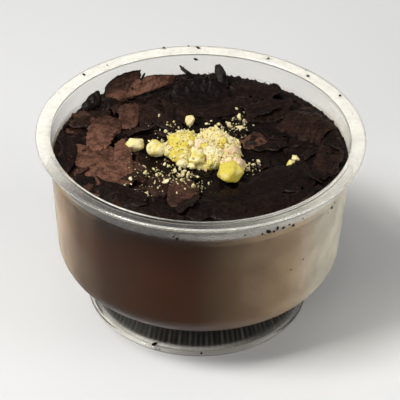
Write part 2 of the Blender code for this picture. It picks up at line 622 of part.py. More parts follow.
def build_pistachios():
    """The heap: a low core on the level seat, with the chopped pieces that show fused on."""
    seat = bed_height(HEAP_X, HEAP_Y) + GAP
    shape = bmesh.new()
    bmesh.ops.create_uvsphere(shape, u_segments=20, v_segments=8, radius=1.0)
    for vert in shape.verts:
        rise = max(0.0, vert.co.z) * HEAP_CORE_HEIGHT
        vert.co.x = HEAP_X + vert.co.x * HEAP_HALF_X * HEAP_CORE_SHARE
        vert.co.y = HEAP_Y + vert.co.y * HEAP_HALF_Y * HEAP_CORE_SHARE
        vert.co.z = seat + rise
    bmesh.ops.remove_doubles(shape, verts=shape.verts[:], dist=0.01 * MM)
    mesh = bpy.data.meshes.new("chopped_pistachios")
    shape.to_mesh(mesh)
    shape.free()
    core = add_object("chopped_pistachios", mesh, finish("pistachio", (0.60, 0.52, 0.17), 0.75))
    pieces = bpy.data.collections.new("nut_pieces")
    bpy.context.scene.collection.children.link(pieces)
    draw = random.Random(NUT_SEED)
    for nut in HEAP_NUTS:
        rise = nut.lift + nut.size_z * (0.5 - NUT_SINK)
        centre = Vector((nut.x * MM, nut.y * MM, seat + rise * MM))
        nut_lump(nut, centre, seat, NUT_CORNERS, draw, pieces)
    for i in range(HEAP_CRUMBS):
        angle = math.tau * CRUMB_TURN * i
        reach = 1.02 * math.sqrt((i + 0.5) / HEAP_CRUMBS)
        x = HEAP_X + HEAP_HALF_X * reach * math.cos(angle)
        y = HEAP_Y + HEAP_HALF_Y * reach * math.sin(angle)
        size = draw.uniform(2.2, 3.6)
        crumb = Nut("crumb_%d" % i, x / MM, y / MM, 0.0, size, size * 0.9, size * 0.8, 0, 0)
        surface = HEAP_CORE_HEIGHT * math.sqrt(max(0.0, 1.0 - (reach / HEAP_CORE_SHARE) ** 2))
        nut_lump(crumb, Vector((x, y, seat + surface + size * MM * 0.3)), seat, CRUMB_CORNERS, draw, pieces)
    fuse(core, pieces)


def main():
    clear_scene()
    build_cup()
    build_custard()
    build_shavings()
    build_pistachios()


main()
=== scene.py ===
"""The finished look of a chocolate custard in a clear footed cup, under shavings and chopped pistachios.

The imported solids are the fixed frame: every piece made here stands for one of them or lies on one of
them. In the tables a length is in millimetres and an angle in degrees. Elsewhere lengths are in metres.
+Z is up and the front of the serving faces -Y.
"""

import random
from collections import namedtuple
from math import atan2, cos, degrees, hypot, pi, radians, sin, sqrt, tau

import bmesh
import bpy
import numpy as np
from bpy.props import FloatProperty, FloatVectorProperty, IntProperty, PointerProperty
from mathutils import Euler, Matrix, Vector, noise
from mathutils.bvhtree import BVHTree


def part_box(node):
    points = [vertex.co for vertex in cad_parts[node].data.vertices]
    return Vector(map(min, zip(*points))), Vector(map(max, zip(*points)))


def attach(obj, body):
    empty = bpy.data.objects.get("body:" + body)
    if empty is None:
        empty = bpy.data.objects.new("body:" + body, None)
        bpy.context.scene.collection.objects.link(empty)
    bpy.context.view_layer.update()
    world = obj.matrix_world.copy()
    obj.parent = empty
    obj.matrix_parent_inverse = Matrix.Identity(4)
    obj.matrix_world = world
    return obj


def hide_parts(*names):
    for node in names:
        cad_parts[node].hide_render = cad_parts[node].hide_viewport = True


bl_info = {
    "name": "Chocolate custard cup",
    "version": (1, 0, 0),
    "blender": (4, 5, 0),
    "location": "3D View > Sidebar > Custard",
    "description": "Dresses the solids of a chocolate custard cup with its plastic, shavings and nuts",
    "category": "Add Mesh",
}
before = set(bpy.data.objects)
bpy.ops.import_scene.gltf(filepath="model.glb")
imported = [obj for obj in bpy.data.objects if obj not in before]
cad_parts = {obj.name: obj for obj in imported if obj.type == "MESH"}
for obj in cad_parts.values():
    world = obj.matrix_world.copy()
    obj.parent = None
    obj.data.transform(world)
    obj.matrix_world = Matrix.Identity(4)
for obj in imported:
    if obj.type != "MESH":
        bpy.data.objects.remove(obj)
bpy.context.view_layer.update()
CUP_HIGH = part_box("cup")[1]
CUSTARD_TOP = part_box("custard")[1].z

MM = 0.001
GOLDEN_TURN = pi * (3.0 - sqrt(5.0))
UP = Vector((0.0, 0.0, 1.0))

# Cup: the solid's own outline, with rounder edges and a fluted foot.
RIM_RADIUS = CUP_HIGH.x
RIM_HEIGHT = CUP_HIGH.z
RIM_THICKNESS = 1.1 * MM
RIM_EDGE_ROUND = 0.5 * MM
WALL = 0.8 * MM
WALL_TOP_RADIUS = 43.85 * MM
WALL_TOP_HEIGHT = 55.0 * MM
WALL_FOOT_RADIUS = 41.8 * MM
CORNER_RADIUS = 9.4 * MM
BOWL_UNDERSIDE = 12.1 * MM
NECK_RADIUS = 26.7 * MM
NECK_HEIGHT = 11.2 * MM
NECK_FILLET = 0.9 * MM
RIM_FILLET = 0.7 * MM
FLARE_RADIUS = 31.3 * MM
FLARE_HEIGHT = 1.9 * MM
FLARE_CURVE = 1.3
FLARE_STEPS = 14
FOOT_SHOULDER = (FLARE_RADIUS + 0.7 * MM, 1.72 * MM)
FOOT_EDGE_ROUND = 0.6 * MM
FOOT_RADIUS = 33.0 * MM
FOOT_LIP_HEIGHT = 0.9 * MM
FOOT_REST_OUTER = 32.7 * MM
FOOT_REST_INNER = 31.7 * MM
STEPS_PER_FLUTE = 6
RIBS = 120
WALL_GLOSS_TOP = 50.5 * MM
DULL_GLOSS = 0.15
DULL_IOR = 1.30
FLUTE_END_HEIGHT = 2.0 * MM
# Rings of the rim film that paint highlights along the flange's outer and inner edges.
RIM_GLINT_LINE = (46.45 * MM, 46.65 * MM)
MOUTH_GLINT_LINE = (43.72 * MM, 43.85 * MM)
# LIP_SHADE is the lip's share of the foot's painted shade tint.
LIP_SHADE = 0.36
SECTORS = 240

# The thin films in the plastic: clouding with painted sheen and highlights, and painted shade in the foot.
FILM = 0.10 * MM
WALL_FILM_DEPTH = 0.38 * MM
FOOT_FILM_DEPTH = 0.45 * MM
RIM_FILM_HEIGHT = RIM_HEIGHT - 0.60 * MM
# Colour of the painted highlight on the foot's lip.
LIP_HIGHLIGHT_COLOUR = (0.97, 0.96, 0.92, 1.0)
# Colour of the painted shade in the foot, where the shadow under the bowl is seen through it.
FOOT_SHADE_COLOUR = (0.045, 0.041, 0.033, 1.0)

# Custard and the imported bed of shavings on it.
WALL_BITE = 0.25 * MM
GAP = 0.3 * MM
BED_EDGE_HEIGHT = 1.4 * MM
BED_RISE = 1.1 * MM
BED_BUMP = 0.35 * MM
BED_BUMP_PITCH = 7.0 * MM
BED_RADIUS = 42.0 * MM
BED_LEVEL_SHARE = 0.45
BED_SEAT_EDGE = 2.0
BED_SEAT_FADE = 0.6
BED_RINGS = 60
BED_SECTORS = 420

# Shavings.
SHAVING_THICKNESS = 0.9 * MM
SHAVING_RAGGED_END = 0.36
SHAVING_RAGGED_SIDE = 0.44
SHAVING_SKEW = 0.5
SHAVING_TAPER = 0.22
LIMIT_RADIUS = 42.1 * MM
LIMIT_HEIGHT = 56.0 * MM
STEP_ASIDE = 0.5 * MM
STEPS_ASIDE = 14
FILLER_SEED = 31
FILLER_COUNT = 34
FILLER_REACH = 39.5
FRONT_RIGHT_SETTLE = 0.35
SMALL_LEAF = 8.0
BARE_SHAVINGS = ("right_oval", "front_right_inner", "front_right_a", "right_rough")
BARE_SHARE = 0.92
LEAF_ROUNDING = 0.16
MEALY_GRAIN = 1.1 * MM
MEALY_RELIEF = 0.17
SLIVER_SEED = 5
SLIVER_REACH = 40.9
SLIVER_EDGE = (38.0, 41.0)

# Chopped pistachios.
HEAP_X = 1.0 * MM
HEAP_Y = -2.4 * MM
HEAP_HALF_X = 10.4 * MM
HEAP_HALF_Y = 8.2 * MM
HEAP_CORE_HEIGHT = 2.9 * MM
HEAP_CORE_SHARE = 0.96
HEAP_FOOT = 0.3 * MM
HEAP_CRUMBS = 30
HEAP_CLEARANCE = 2.2 * MM
NUT_CORNERS = 12
NUT_BOXINESS = 4.0
NUT_SINK = 0.08
NUT_SOFTNESS = 0.08
NUT_ANGULARITY = 1.7
CRUMB_CORNERS = 9
CRUMB_TURN = 0.382
NUT_SEED = 12

# Crumbs.
NUT_CRUMB_SEED = 21
CHOCOLATE_CRUMB_SEED = 8
SPECK_SEED = 3
CRUMB_REACH = 41.2 * MM
LARGEST_CRUMB = 1.6 * MM
CRUMB_SINK = 0.62
SPECK_TONE = 0.03
SPECK_FLATNESS = 0.4

# Stage, with the camera's angles in degrees and its lens in millimetres.
CAMERA_ELEVATION = 35.917
CAMERA_ROLL = 1.472
CAMERA_DISTANCE = 0.54835
CAMERA_TARGET = Vector((0.000192, 0.0, 0.032418))
CAMERA_LENS = 167.41
CAMERA_SENSOR = 36.0
LIGHT_TARGET = Vector((0.0, 0.0, 0.03))
FLOOR_SIZE = 12.0

Shaving = namedtuple("Shaving", "name x y lift length width heading pitch roll curl sweep tone ridge")
Leaf = namedtuple("Leaf", "name near far belly tone_near tone_far ridge rim")
Nut = namedtuple("Nut", "name x y lift size_x size_y size_z heading tip tone mealy")

# lift is the height of the middle over the bed; pitch raises the far end, roll raises the left side, and
# curl and sweep bend across and along. tone runs from dark (0) to milk chocolate (1), and ridge is the
# height of the ribs that the blade left.
SHAVINGS = [Shaving(*row) for row in (
    ("back_right_layer", 15, 30, 1, 14, 8, -12, 4, 14, 20, 10, 0.06, 0.06),
    ("right_rough", 31, 13, 1.3, 16, 14, -24, 3, 8, -35, -12, 0.11, 0.24),
    ("right_rim", 36, -4.5, 0.9, 15, 8, 80, 2, -7, -30, 0, 0.11, 0.16),
    ("right_oval", 24, -14.5, 0.9, 14, 12, 30, 3, 5, -35, -12, 0.04, 0.02),
    ("left_rim_a", -37, -2, 1, 13, 7, 96, 2, 18, 30, 0, 0.04, 0.06),
    ("right_reddish", 15.5, 4, 0.7, 7, 6, 30, 3, 6, 20, 0, 0.52, 0.12),
    ("right_back_a", 20, 20, 1.3, 15, 8, 18, 3, 16, 20, 10, 0.06, 0.06),
    ("front_right_inner", 16.5, -19, 0.8, 11, 8, 35, 2, 6, 15, 0, 0.04, 0.05),
    ("front_left_a", -22.5, -25.5, 1.2, 16, 8, -34, 0, 16, -20, 0, 0.04, 0.06),
    ("front_left_b", -31, -22, 0.9, 13, 7, -52, 0, 14, 0, 0, 0.03, 0.06),
    ("front_mid_a", 4, -30, 0.9, 17, 8, -6, 2, 8, -20, 8, 0.04, 0.06),
    ("front_mid_b", -11, -35, 0.8, 15, 7, -14, 0, 14, 15, 0, 0.04, 0.06),
    ("front_right_a", 18, -27, 0.9, 15, 9, 24, 2, 6, -25, 0, 0.04, 0.05),
    ("front_right_b", 29.5, -24, 0.8, 13, 7, 42, 0, 6, 15, 0, 0.04, 0.05),
    ("right_rim_b", 38, 7, 0.8, 10, 6, 108, 0, -10, 20, 0, 0.05, 0.08),
)]

# The leaves that stand out, each by three points along its near edge and three along its far edge, from
# left to right, as (x, y, height). belly is how far the middle bulges up, and rim the painted light on
# the edges: a painted highlight above 0 and painted shade below 0.
LEAVES = [Leaf(*row) for row in (
    ("dark_shoulder", ((-39.1, 10.1, 50), (-33.8, 9.6, 50.8), (-28, 12.2, 51)),
     ((-36.1, 17.3, 50.6), (-31.3, 18, 51), (-26.3, 18.2, 51.4)), 0.8, 0.11, 0.09, 0.03, 0.1),
    # petal_left's dark far side is painted shade on its curled-up lobe.
    ("petal_left", ((-28.8, 24.8, 50.6), (-25.1, 24.1, 50.6), (-20.4, 26.5, 50.8)),
     ((-29.2, 27.6, 53), (-25.4, 31.4, 55), (-18.2, 34.9, 55.5)), -1.6, 0.72, 0.07, 0.06, -0.6),
    ("petal_right", ((-24.2, 24.3, 50.9), (-15.7, 29.2, 51.2), (-8.6, 33.6, 52)),
     ((-20.9, 31, 53.8), (-13.8, 32.9, 54.8), (-7.6, 32.9, 54.4)), -0.8, 1, 0.8, 0.08, -1),
    ("upright_chip", ((-35.3, 19, 50.2), (-32.7, 19.9, 50.4), (-29.8, 22, 50.6)),
     ((-35.7, 20.8, 51.2), (-32.9, 23.8, 53.2), (-30.8, 24.3, 54.2)), 0.5, 0.05, 0.03, 0.1, -0.3),
    ("dark_knob", ((-30.5, 18.4, 50.4), (-27.8, 17.7, 50.6), (-24.9, 20.2, 50.8)),
     ((-30.2, 23.5, 51.4), (-27.8, 23.2, 52), (-25.4, 23.6, 51.8)), 0.8, 0.04, 0.04, 0.1, -0.2),
    ("edge_sliver", ((-40.5, 8.6, 49.7), (-39.9, 9.8, 50), (-39.3, 11, 50.3)),
     ((-40.2, 9.8, 50.8), (-39.5, 10.7, 51.3), (-38.7, 11.6, 51.6)), 0, 0.04, 0.04, 0, 0),
    ("left_edge", ((-40.2, -6.2, 49.8), (-38.7, -10.4, 50), (-36.8, -13.6, 50.2)),
     ((-39.9, 5.7, 50.8), (-37.4, 2.6, 51.2), (-34.7, -2.9, 51.2)), 0.6, 0.04, 0.06, 0.05, 0),
    ("brown_under", ((-32.9, 5.7, 51), (-28.1, 3.5, 51.2), (-23.3, 4.6, 51.3)),
     ((-31.9, 12.8, 51.6), (-28.2, 14.2, 51.8), (-23.7, 12.8, 51.8)), 0.4, 0.5, 0.3, 0.06, 0.1),
    ("mauve_flake", ((-24.1, 9.6, 50.8), (-21.1, 8.9, 51), (-18.6, 10.8, 51.2)),
     ((-24.6, 19.6, 51.6), (-21.7, 20.4, 52.2), (-18.6, 19.7, 52.4)), 0.5, 0.5, 0.36, 0.03, 0.7),
    ("pale_plate", ((-33.2, 1.2, 51.6), (-30.3, -4.1, 51.8), (-26.1, -0.9, 52.2)),
     ((-32.8, 7.9, 52), (-29, 8.8, 52.2), (-24.5, 6.1, 52.4)), 0.4, 0.88, 0.56, 0.12, 0.9),
    ("broken_left", ((-37.3, -7.4, 50), (-31.3, -11.5, 50.6), (-23, -11.5, 51.2)),
     ((-36.7, 0.9, 51), (-30.8, -1, 51.4), (-23.5, -1.3, 51.8)), 0.3, 0.54, 0.62, 0.14, 0.3),
    ("striped_left", ((-34, -12.4, 50.5), (-27, -20.8, 50.8), (-18.4, -18.8, 51)),
     ((-33.6, -6.6, 51), (-26.9, -8.1, 51.5), (-18.8, -11.8, 51.6)), 0.7, 0.88, 0.84, 0.16, 0.4),
    ("grooved_left", ((-23.9, -17.4, 51.2), (-21.2, -19.5, 51.4), (-18.5, -17.3, 51.3)),
     ((-25, -1.4, 52.2), (-22.2, 0.8, 52.5), (-19.9, -3.6, 52.2)), 0.5, 0.84, 0.76, 0.14, 0.3),
    ("brown_middle", ((-20.5, -13, 50.6), (-17.5, -14, 50.7), (-14.5, -12, 50.7)),
     ((-20.3, -8.6, 51.4), (-18.9, -8.2, 51.6), (-17.4, -9.4, 51.4)), 0.3, 0.3, 0.4, 0.06, 0.3),
    ("slat_left", ((-18.3, 10.4, 50.8), (-15.6, 11.2, 51), (-13.7, 13.2, 51.2)),
     ((-19.3, 21.4, 52), (-16.3, 19.6, 52.2), (-12.9, 16.8, 52)), 0.3, 0.1, 0.1, 0.04, 0.5),
    ("slat_middle", ((-15.1, 13.1, 51.2), (-12.1, 10, 51.2), (-8.5, 7.6, 51.2)),
     ((-16, 20.7, 52.2), (-11.7, 15.9, 52.3), (-6.8, 11, 51.8)), 0.3, 0.08, 0.12, 0.04, 0.5),
    ("slat_right", ((-11.5, 20.8, 51.2), (-8.7, 15.5, 51.2), (-4.5, 11.2, 51)),
     ((-12.6, 25, 52), (-8.3, 20, 52.2), (-3.4, 15.4, 51.8)), 0.3, 0.1, 0.12, 0.04, 0.4),
    ("back_slab", ((-7.6, 17.8, 50.8), (4, 16.7, 50.8), (16.2, 22.2, 50.8)),
     ((-8.9, 22.8, 51.4), (3, 21.9, 52), (15.3, 27, 51.6)), 0.5, 0.07, 0.05, 0.02, 0.2),
    ("back_curl", ((-9.2, 23.6, 50.9), (-0.5, 21.6, 51), (8.1, 25.3, 51)),
     ((-8.5, 28.8, 54), (-1.3, 30.6, 55), (7.4, 29.8, 54.2)), -1.4, 0.03, 0.02, 0.04, -0.2),
    ("back_stick", ((-6.6, 37.9, 53.8), (-3, 35.6, 51.8), (0.8, 33.6, 50)),
     ((-7, 39.3, 54.6), (-2.7, 36.6, 52.8), (1.4, 34.6, 50.8)), 0, 0.02, 0.02, 0, 0),
    ("back_upright", ((4.4, 33.4, 49.9), (6, 32.6, 49.9), (8.1, 33.6, 49.9)),
     ((3.6, 38.3, 54.8), (5.1, 38.8, 55.4), (6.9, 36.2, 54.4)), 0.2, 0.02, 0.02, 0.04, 0),
    ("right_tip", ((21.1, 30.3, 49.9), (22.9, 29.2, 49.9), (24.7, 29.5, 49.9)),
     ((21.7, 31.4, 51.8), (22.7, 31.5, 53.4), (23.8, 31, 51.8)), 0.2, 0.02, 0.02, 0.04, 0),
    ("front_mauve", ((-9.2, -27.6, 50.4), (-4.5, -28.9, 50.5), (0.2, -26.5, 50.6)),
     ((-8.6, -18, 51.4), (-4.5, -16.6, 51.6), (-0.5, -18.9, 51.3)), 0.6, 0.3, 0.36, 0.03, 0.2),
    ("front_olive", ((-14.7, -22.4, 50.6), (-11.5, -23.7, 50.6), (-8.2, -22.3, 50.7)),
     ((-14.3, -16, 51.2), (-11.3, -14.5, 51.3), (-7.9, -15.8, 51.3)), 0.4, 0.18, 0.2, 0.02, 0.1),
    ("front_dark", ((-26.5, -24.8, 50.2), (-20.8, -27.5, 50.3), (-14.7, -28.6, 50.3)),
     ((-25.1, -20.1, 51), (-20, -21.6, 51.2), (-14.3, -23.2, 51.2)), 0.5, 0.04, 0.05, 0.03, 0.2),
    ("front_smooth", ((1.7, -30.1, 50.2), (9.1, -29.3, 50.2), (17.5, -25.2, 50.2)),
     ((1.5, -21.6, 51), (7.9, -21.8, 51.2), (15.8, -19.6, 51)), 0.6, 0.03, 0.03, 0.02, 0.2),
)]

# heading turns a nut and tip leans it back. tone runs from yellow green (0) over cream (0.5) to the
# pinkish skin (1), and mealy is how much the nut crumbles.
LOOSE_NUTS = [Nut(*row) for row in (
    ("left_cream", -19.1, -1.6, 4.4, 5.6, 4.4, 4.4, -12, 14, 0.5, 0.04),
    ("top_small", -3.4, 13.2, 3, 3.4, 3.4, 3.8, 30, 0, 0.46, 0.5),
    ("top_right_small", 10.9, 10, 1.8, 4.2, 2.4, 1.8, 12, 0, 0.7, 0.6),
    ("far_right_a", 27.2, -4.4, 2, 2.2, 2.8, 2.4, 20, 0, 0.46, 0.2),
    ("far_right_b", 25.8, -7.4, 2, 1.9, 3.2, 2.4, -30, 0, 0.3, 0.2),
)]
HEAP_NUTS = [Nut(*row) for row in (
    ("front_right_chunk", 8.4, -14.8, 0, 7.6, 9.2, 6, 20, -12, 0.02, 0.1),
    ("chunk_skin", 10.4, -11.8, 0, 5.2, 5.2, 5.8, -20, -8, 0.74, 0.1),
    ("left_green", -12.6, -3.8, 0, 7.4, 5.6, 4.8, -28, 10, 0.42, 0.6),
    ("left_joint", -8.8, -4.4, 0, 5, 4.8, 3.8, 12, 0, 0.26, 0.7),
    ("left_tall", -4.9, -0.6, 0.2, 9.8, 8.6, 5.6, 15, -8, 0.1, 0.22),
    ("left_front", -6.2, -6.2, 0, 7.6, 5.8, 4.4, -10, 5, 0.22, 0.45),
    ("middle", 0.2, -3, 0.8, 5, 5.2, 4.8, 40, 0, 0.8, 0.25),
    ("front_pale", -1, -7.8, 0, 6.2, 5.2, 5, 8, 18, 0.32, 0.1),
    ("front_right_small", 3.8, -9, 0, 4.8, 4.2, 3.2, 25, 0, 0.54, 0.6),
    ("front_left", -5, -9.4, 0, 4.6, 3.8, 2.8, 0, 0, 0.36, 0.8),
    ("back_tall", 4, 2.2, 0.2, 8.2, 7.6, 5.8, -15, 0, 0.46, 0.9),
    ("back_left", -5.6, 4.4, 0, 5.6, 3.8, 3.2, 10, 0, 0.4, 0.9),
    ("right_middle", 3.4, -5.6, 0.2, 7.2, 7.4, 5.2, 30, 0, 0.52, 0.8),
    ("right_lobe", 8.9, -3.9, 0, 5.6, 5.8, 4.6, -20, 0, 0.72, 0.25),
    ("right_back", 7.8, 0.6, 0, 5, 4.8, 4.2, 10, 0, 0.48, 0.7),
    ("right_front", 8, -8.4, 0, 6.2, 5.6, 3.6, 5, 0, 0.6, 0.6),
)]

# Where fine nut crumbs lie thickest round the heap, and the single larger crumbs there.
Patch = namedtuple("Patch", "x y spread_x spread_y")
Crumb = namedtuple("Crumb", "x y size tone")
CRUMB_PATCHES = [Patch(*row) for row in (
    (-10.5, -13.5, 4.5, 3), (-5, -15.5, 3.2, 2.2), (-13.5, -18.5, 4, 3.5), (-2.5, -17.5, 3, 2.5),
    (-9.5, 6, 3, 2.6), (10.5, 12, 2.2, 3.6), (7, 9.5, 3.5, 1.8), (14, -9, 1.6, 1.6),
)]
BIG_CRUMBS = [Crumb(*row) for row in (
    (11.1, 17.7, 1.6, 0.5), (12.6, 19.6, 1, 0.5), (12.7, 15, 1.5, 0.5), (7.9, 13.2, 1.4, 0.5),
    (5.2, 13.2, 1.3, 0.45), (2.8, 14.7, 0.8, 0.5), (12.8, 11.8, 1, 0.5), (11.5, 16, 1.2, 0.5),
    (-12.4, 13.7, 1.2, 0.5), (-10, 7.5, 1.7, 0.55), (-8.1, 11.1, 1.1, 0.45), (-6.5, 8.9, 1, 0.4),
    (-4.9, 9.6, 1.2, 0.45), (-14.8, -23.3, 1.9, 0.55), (-1.8, -20.9, 1.7, 0.55), (-9.5, -19.1, 1.5, 0.75),
    (-16.2, -10.2, 1.9, 0.78), (-10.3, -8.8, 1.3, 0.55), (-13.2, -11.1, 1.4, 0.6), (-12.2, -15.6, 1.1, 0.55),
    (-5.7, -11.1, 1.6, 0.5), (-4.9, -15.6, 1.6, 0.5), (-3.3, -14.7, 1.6, 0.5), (-7.6, -13.3, 1.2, 0.5),
    (3.1, -10.6, 1.3, 0.5), (13.2, -7.9, 1.3, 0.5), (15.1, -8.8, 1.2, 0.5), (13.9, -9.7, 1, 0.5),
    (-19.6, -18.7, 1.3, 0.6), (-21, -20, 1, 0.6), (-0.7, -16.4, 0.9, 0.5), (8.4, 9.6, 1.4, 0.6),
    (-15.6, -14.2, 1, 0.6),
)]

# Chocolate specks. No height means the rim's top, no radius the wall's inner face, and both together a
# place on the outer face of the wall or the foot.
Speck = namedtuple("Speck", "angle radius height size")
SPECKS = [Speck(*row) for row in (
    (141, 45.8, None, 0.9), (130, 45, None, 0.7), (105, 46.8, None, 1.1), (95.6, 47, None, 0.7),
    (92, 45.9, None, 1.5), (93, None, 54.6, 1.3), (64, 45.2, None, 1), (48, 46.5, None, 0.5),
    (44.5, 44.4, None, 1.1), (27, 45.8, None, 0.9), (14, 45.4, None, 0.6), (-97.4, 43.6, 50.6, 1.1),
    (-98.6, 43.6, 51.4, 0.7), (-73, 43.6, 51.3, 0.6), (-66.5, 43.6, 50.5, 0.8), (-64, 43.6, 50.9, 1.2),
    (-62, 43.6, 50.4, 0.9), (-60.5, 43.6, 51.2, 1.3), (-58, 43.6, 50.6, 1), (-55.5, 43.6, 51, 0.7),
    (-53.5, 43.6, 50.1, 0.8), (-49, 43.6, 50.9, 0.6), (-31, 43.3, 47.2, 0.9), (-33.5, 43.3, 46.4, 0.6),
    (-29, 43.4, 48, 0.6), (-46, 42.6, 35, 0.6), (-52, 42.5, 33.5, 0.5), (-112, 32, 1.5, 1.5),
    (-108.5, 32.8, 0.9, 0.6), (-87, 32.7, 1.1, 0.8),
)]


# ---- Settings ----


COLOUR = {"subtype": "COLOR", "size": 4, "min": 0.0, "max": 1.0}
SHARE = {"subtype": "FACTOR", "min": 0.0, "max": 1.0}
POWER = {"unit": "POWER", "min": 0.0, "max": 1000.0}


class CupSettings(bpy.types.PropertyGroup):
    tint: FloatVectorProperty(
        name="Tint", description="Colour of the plastic", default=(0.980, 0.965, 0.930, 1.0), **COLOUR
    )
    haze: FloatProperty(
        name="Haze", description="Share of the light that the plastic scatters instead of passing",
        default=0.0, **SHARE
    )
    roughness: FloatProperty(
        name="Roughness", description="Roughness of the moulded surface", default=0.05, **SHARE
    )
    wall_roughness: FloatProperty(
        name="Wall roughness", description="Roughness of the clouded wall round the custard",
        default=0.38, **SHARE
    )
    thin_mist: FloatVectorProperty(
        name="Thin mist", description="Colour of the film where it is thin over the custard",
        default=(0.58, 0.425, 0.27, 1.0), **COLOUR
    )
    # The thick film on the flanks is partly painted sheen.
    thick_mist: FloatVectorProperty(
        name="Thick mist", description="Colour of the film where it is thick on the flank",
        default=(0.69, 0.66, 0.55, 1.0), **COLOUR
    )
    # This colour is also used for the painted highlights on the rim.
    rim_mist: FloatVectorProperty(
        name="Rim mist", description="Colour of the film in the rim and over the topping",
        default=(0.775, 0.76, 0.71, 1.0), **COLOUR
    )
    # foot_shade sets how dark the foot's painted shade tint is.
    foot_shade: FloatProperty(
        name="Foot shade", description="How much the fluted foot darkens what is behind it",
        default=0.88, **SHARE
    )
    flutes: IntProperty(
        name="Flutes", description="Number of fine flutes round the foot", min=12, max=240, default=RIBS
    )
    flute_depth: FloatProperty(
        name="Flute depth", description="Depth of the flutes on the foot",
        unit="LENGTH", min=0.0, max=0.001, default=0.00035
    )


class CustardSettings(bpy.types.PropertyGroup):
    colour: FloatVectorProperty(
        name="Colour", description="Main brown of the custard",
        default=(0.044, 0.0125, 0.0045, 1.0), **COLOUR
    )
    second_colour: FloatVectorProperty(
        name="Second colour", description="Brown of the duller patches",
        default=(0.034, 0.0140, 0.0055, 1.0), **COLOUR
    )


class ShavingSettings(bpy.types.PropertyGroup):
    dark: FloatVectorProperty(
        name="Dark chocolate", description="Colour of the dark shavings",
        default=(0.0034, 0.0023, 0.0020, 1.0), **COLOUR
    )
    milk: FloatVectorProperty(
        name="Milk chocolate", description="Colour of the lightest shavings",
        default=(0.165, 0.074, 0.046, 1.0), **COLOUR
    )
    small_count: IntProperty(
        name="Small shavings", description="Number of small slivers on the bed",
        min=0, max=2000, default=380
    )
    crumb_count: IntProperty(
        name="Crumbs", description="Number of chocolate crumbs", min=0, max=4000, default=900
    )


class NutSettings(bpy.types.PropertyGroup):
    green: FloatVectorProperty(
        name="Green", description="Yellow green of the cut nut", default=(0.70, 0.57, 0.070, 1.0), **COLOUR
    )
    cream: FloatVectorProperty(
        name="Cream", description="Cream of the nut's pale faces", default=(0.86, 0.74, 0.38, 1.0), **COLOUR
    )
    skin: FloatVectorProperty(
        name="Skin", description="Pinkish skin of the nut", default=(0.72, 0.48, 0.33, 1.0), **COLOUR
    )
    heap_crumb_count: IntProperty(
        name="Heap crumbs", description="Number of nut crumbs on the heap", min=0, max=4000, default=340
    )
    crumb_count: IntProperty(
        name="Scattered crumbs", description="Number of fine nut crumbs round the heap",
        min=0, max=4000, default=420
    )


class StageSettings(bpy.types.PropertyGroup):
    floor: FloatVectorProperty(
        name="Floor", description="Colour of the plain floor", default=(0.78, 0.775, 0.76, 1.0), **COLOUR
    )
    key_power: FloatProperty(
        name="Key light", description="Power of the large soft light at the left", default=9.6, **POWER
    )
    fill_power: FloatProperty(
        name="Fill light", description="Power of the soft light at the right", default=3.0, **POWER
    )
    low_power: FloatProperty(
        name="Low light", description="Power of the small soft light low at the front left",
        default=1.6, **POWER
    )
    sky: FloatProperty(
        name="Surroundings", description="Brightness of the plain surroundings",
        min=0.0, max=5.0, default=0.22
    )


# ---- Shader building ----


class Look:
    """A tree of shader nodes, with a word for each step that the finishes take."""

    def __init__(self, tree):
        self.tree = tree

    def put(self, socket, value):
        """Links an output to the socket, or sets the socket's own value."""
        if isinstance(value, bpy.types.NodeSocket):
            self.tree.links.new(value, socket)
        else:
            socket.default_value = value

    def node(self, kind, inputs=None, **settings):
        made = self.tree.nodes.new("ShaderNode" + kind)
        for name, value in settings.items():
            setattr(made, name, value)
        for name, value in (inputs or {}).items():
            self.put(made.inputs[name], value)
        return made

    def mix(self, share, first, second, blend="MIX"):
        made = self.node("Mix", {0: share, 6: first, 7: second}, data_type="RGBA", blend_type=blend)
        return made.outputs[2]

    def calculate(self, operation, *values, clamp=False):
        return self.node("Math", dict(enumerate(values)), operation=operation, use_clamp=clamp).outputs[0]

    def times(self, first, second, clamp=False):
        return self.calculate("MULTIPLY", first, second, clamp=clamp)

    def spread(self, value, low, high, to_low=0.0, to_high=1.0):
        """Moves a value from one range to another, smoothly and held at the ends."""
        inputs = {"Value": value, "From Min": low, "From Max": high, "To Min": to_low, "To Max": to_high}
        return self.node("MapRange", inputs, interpolation_type="SMOOTHSTEP").outputs[0]

    def painted(self, name):
        """A value that the mesh carries at each vertex."""
        return self.node("Attribute", attribute_name=name).outputs["Fac"]

    def cloud(self, place, scale, detail, roughness):
        inputs = {"Vector": place, "Scale": scale, "Detail": detail, "Roughness": roughness}
        return self.node("TexNoise", inputs).outputs["Fac"]

    def bump(self, height, distance):
        return self.node("Bump", {"Height": height, "Distance": distance}).outputs["Normal"]

    def group(self, make, values):
        """The outputs of a shared group, which is made the first time it is asked for."""
        group = bpy.data.node_groups.get(make.__name__) or make(make.__name__)
        return self.node("Group", values, node_tree=group).outputs

    def mottle(self, patch, contrast, detail):
        return self.group(mottle, {"Patch size": patch, "Contrast": contrast, "Detail": detail})["Share"]


def new_group(name, inputs, outputs):
    """An empty node group with sockets for numbers, as (look, what comes in, what goes out)."""
    group = bpy.data.node_groups.new(name, "ShaderNodeTree")
    for label, value in inputs.items():
        socket = group.interface.new_socket(name=label, in_out="INPUT", socket_type="NodeSocketFloat")
        socket.default_value = value
    for label in outputs:
        group.interface.new_socket(name=label, in_out="OUTPUT", socket_type="NodeSocketFloat")
    entry = group.nodes.new("NodeGroupInput")
    return Look(group), entry.outputs, group.nodes.new("NodeGroupOutput").inputs


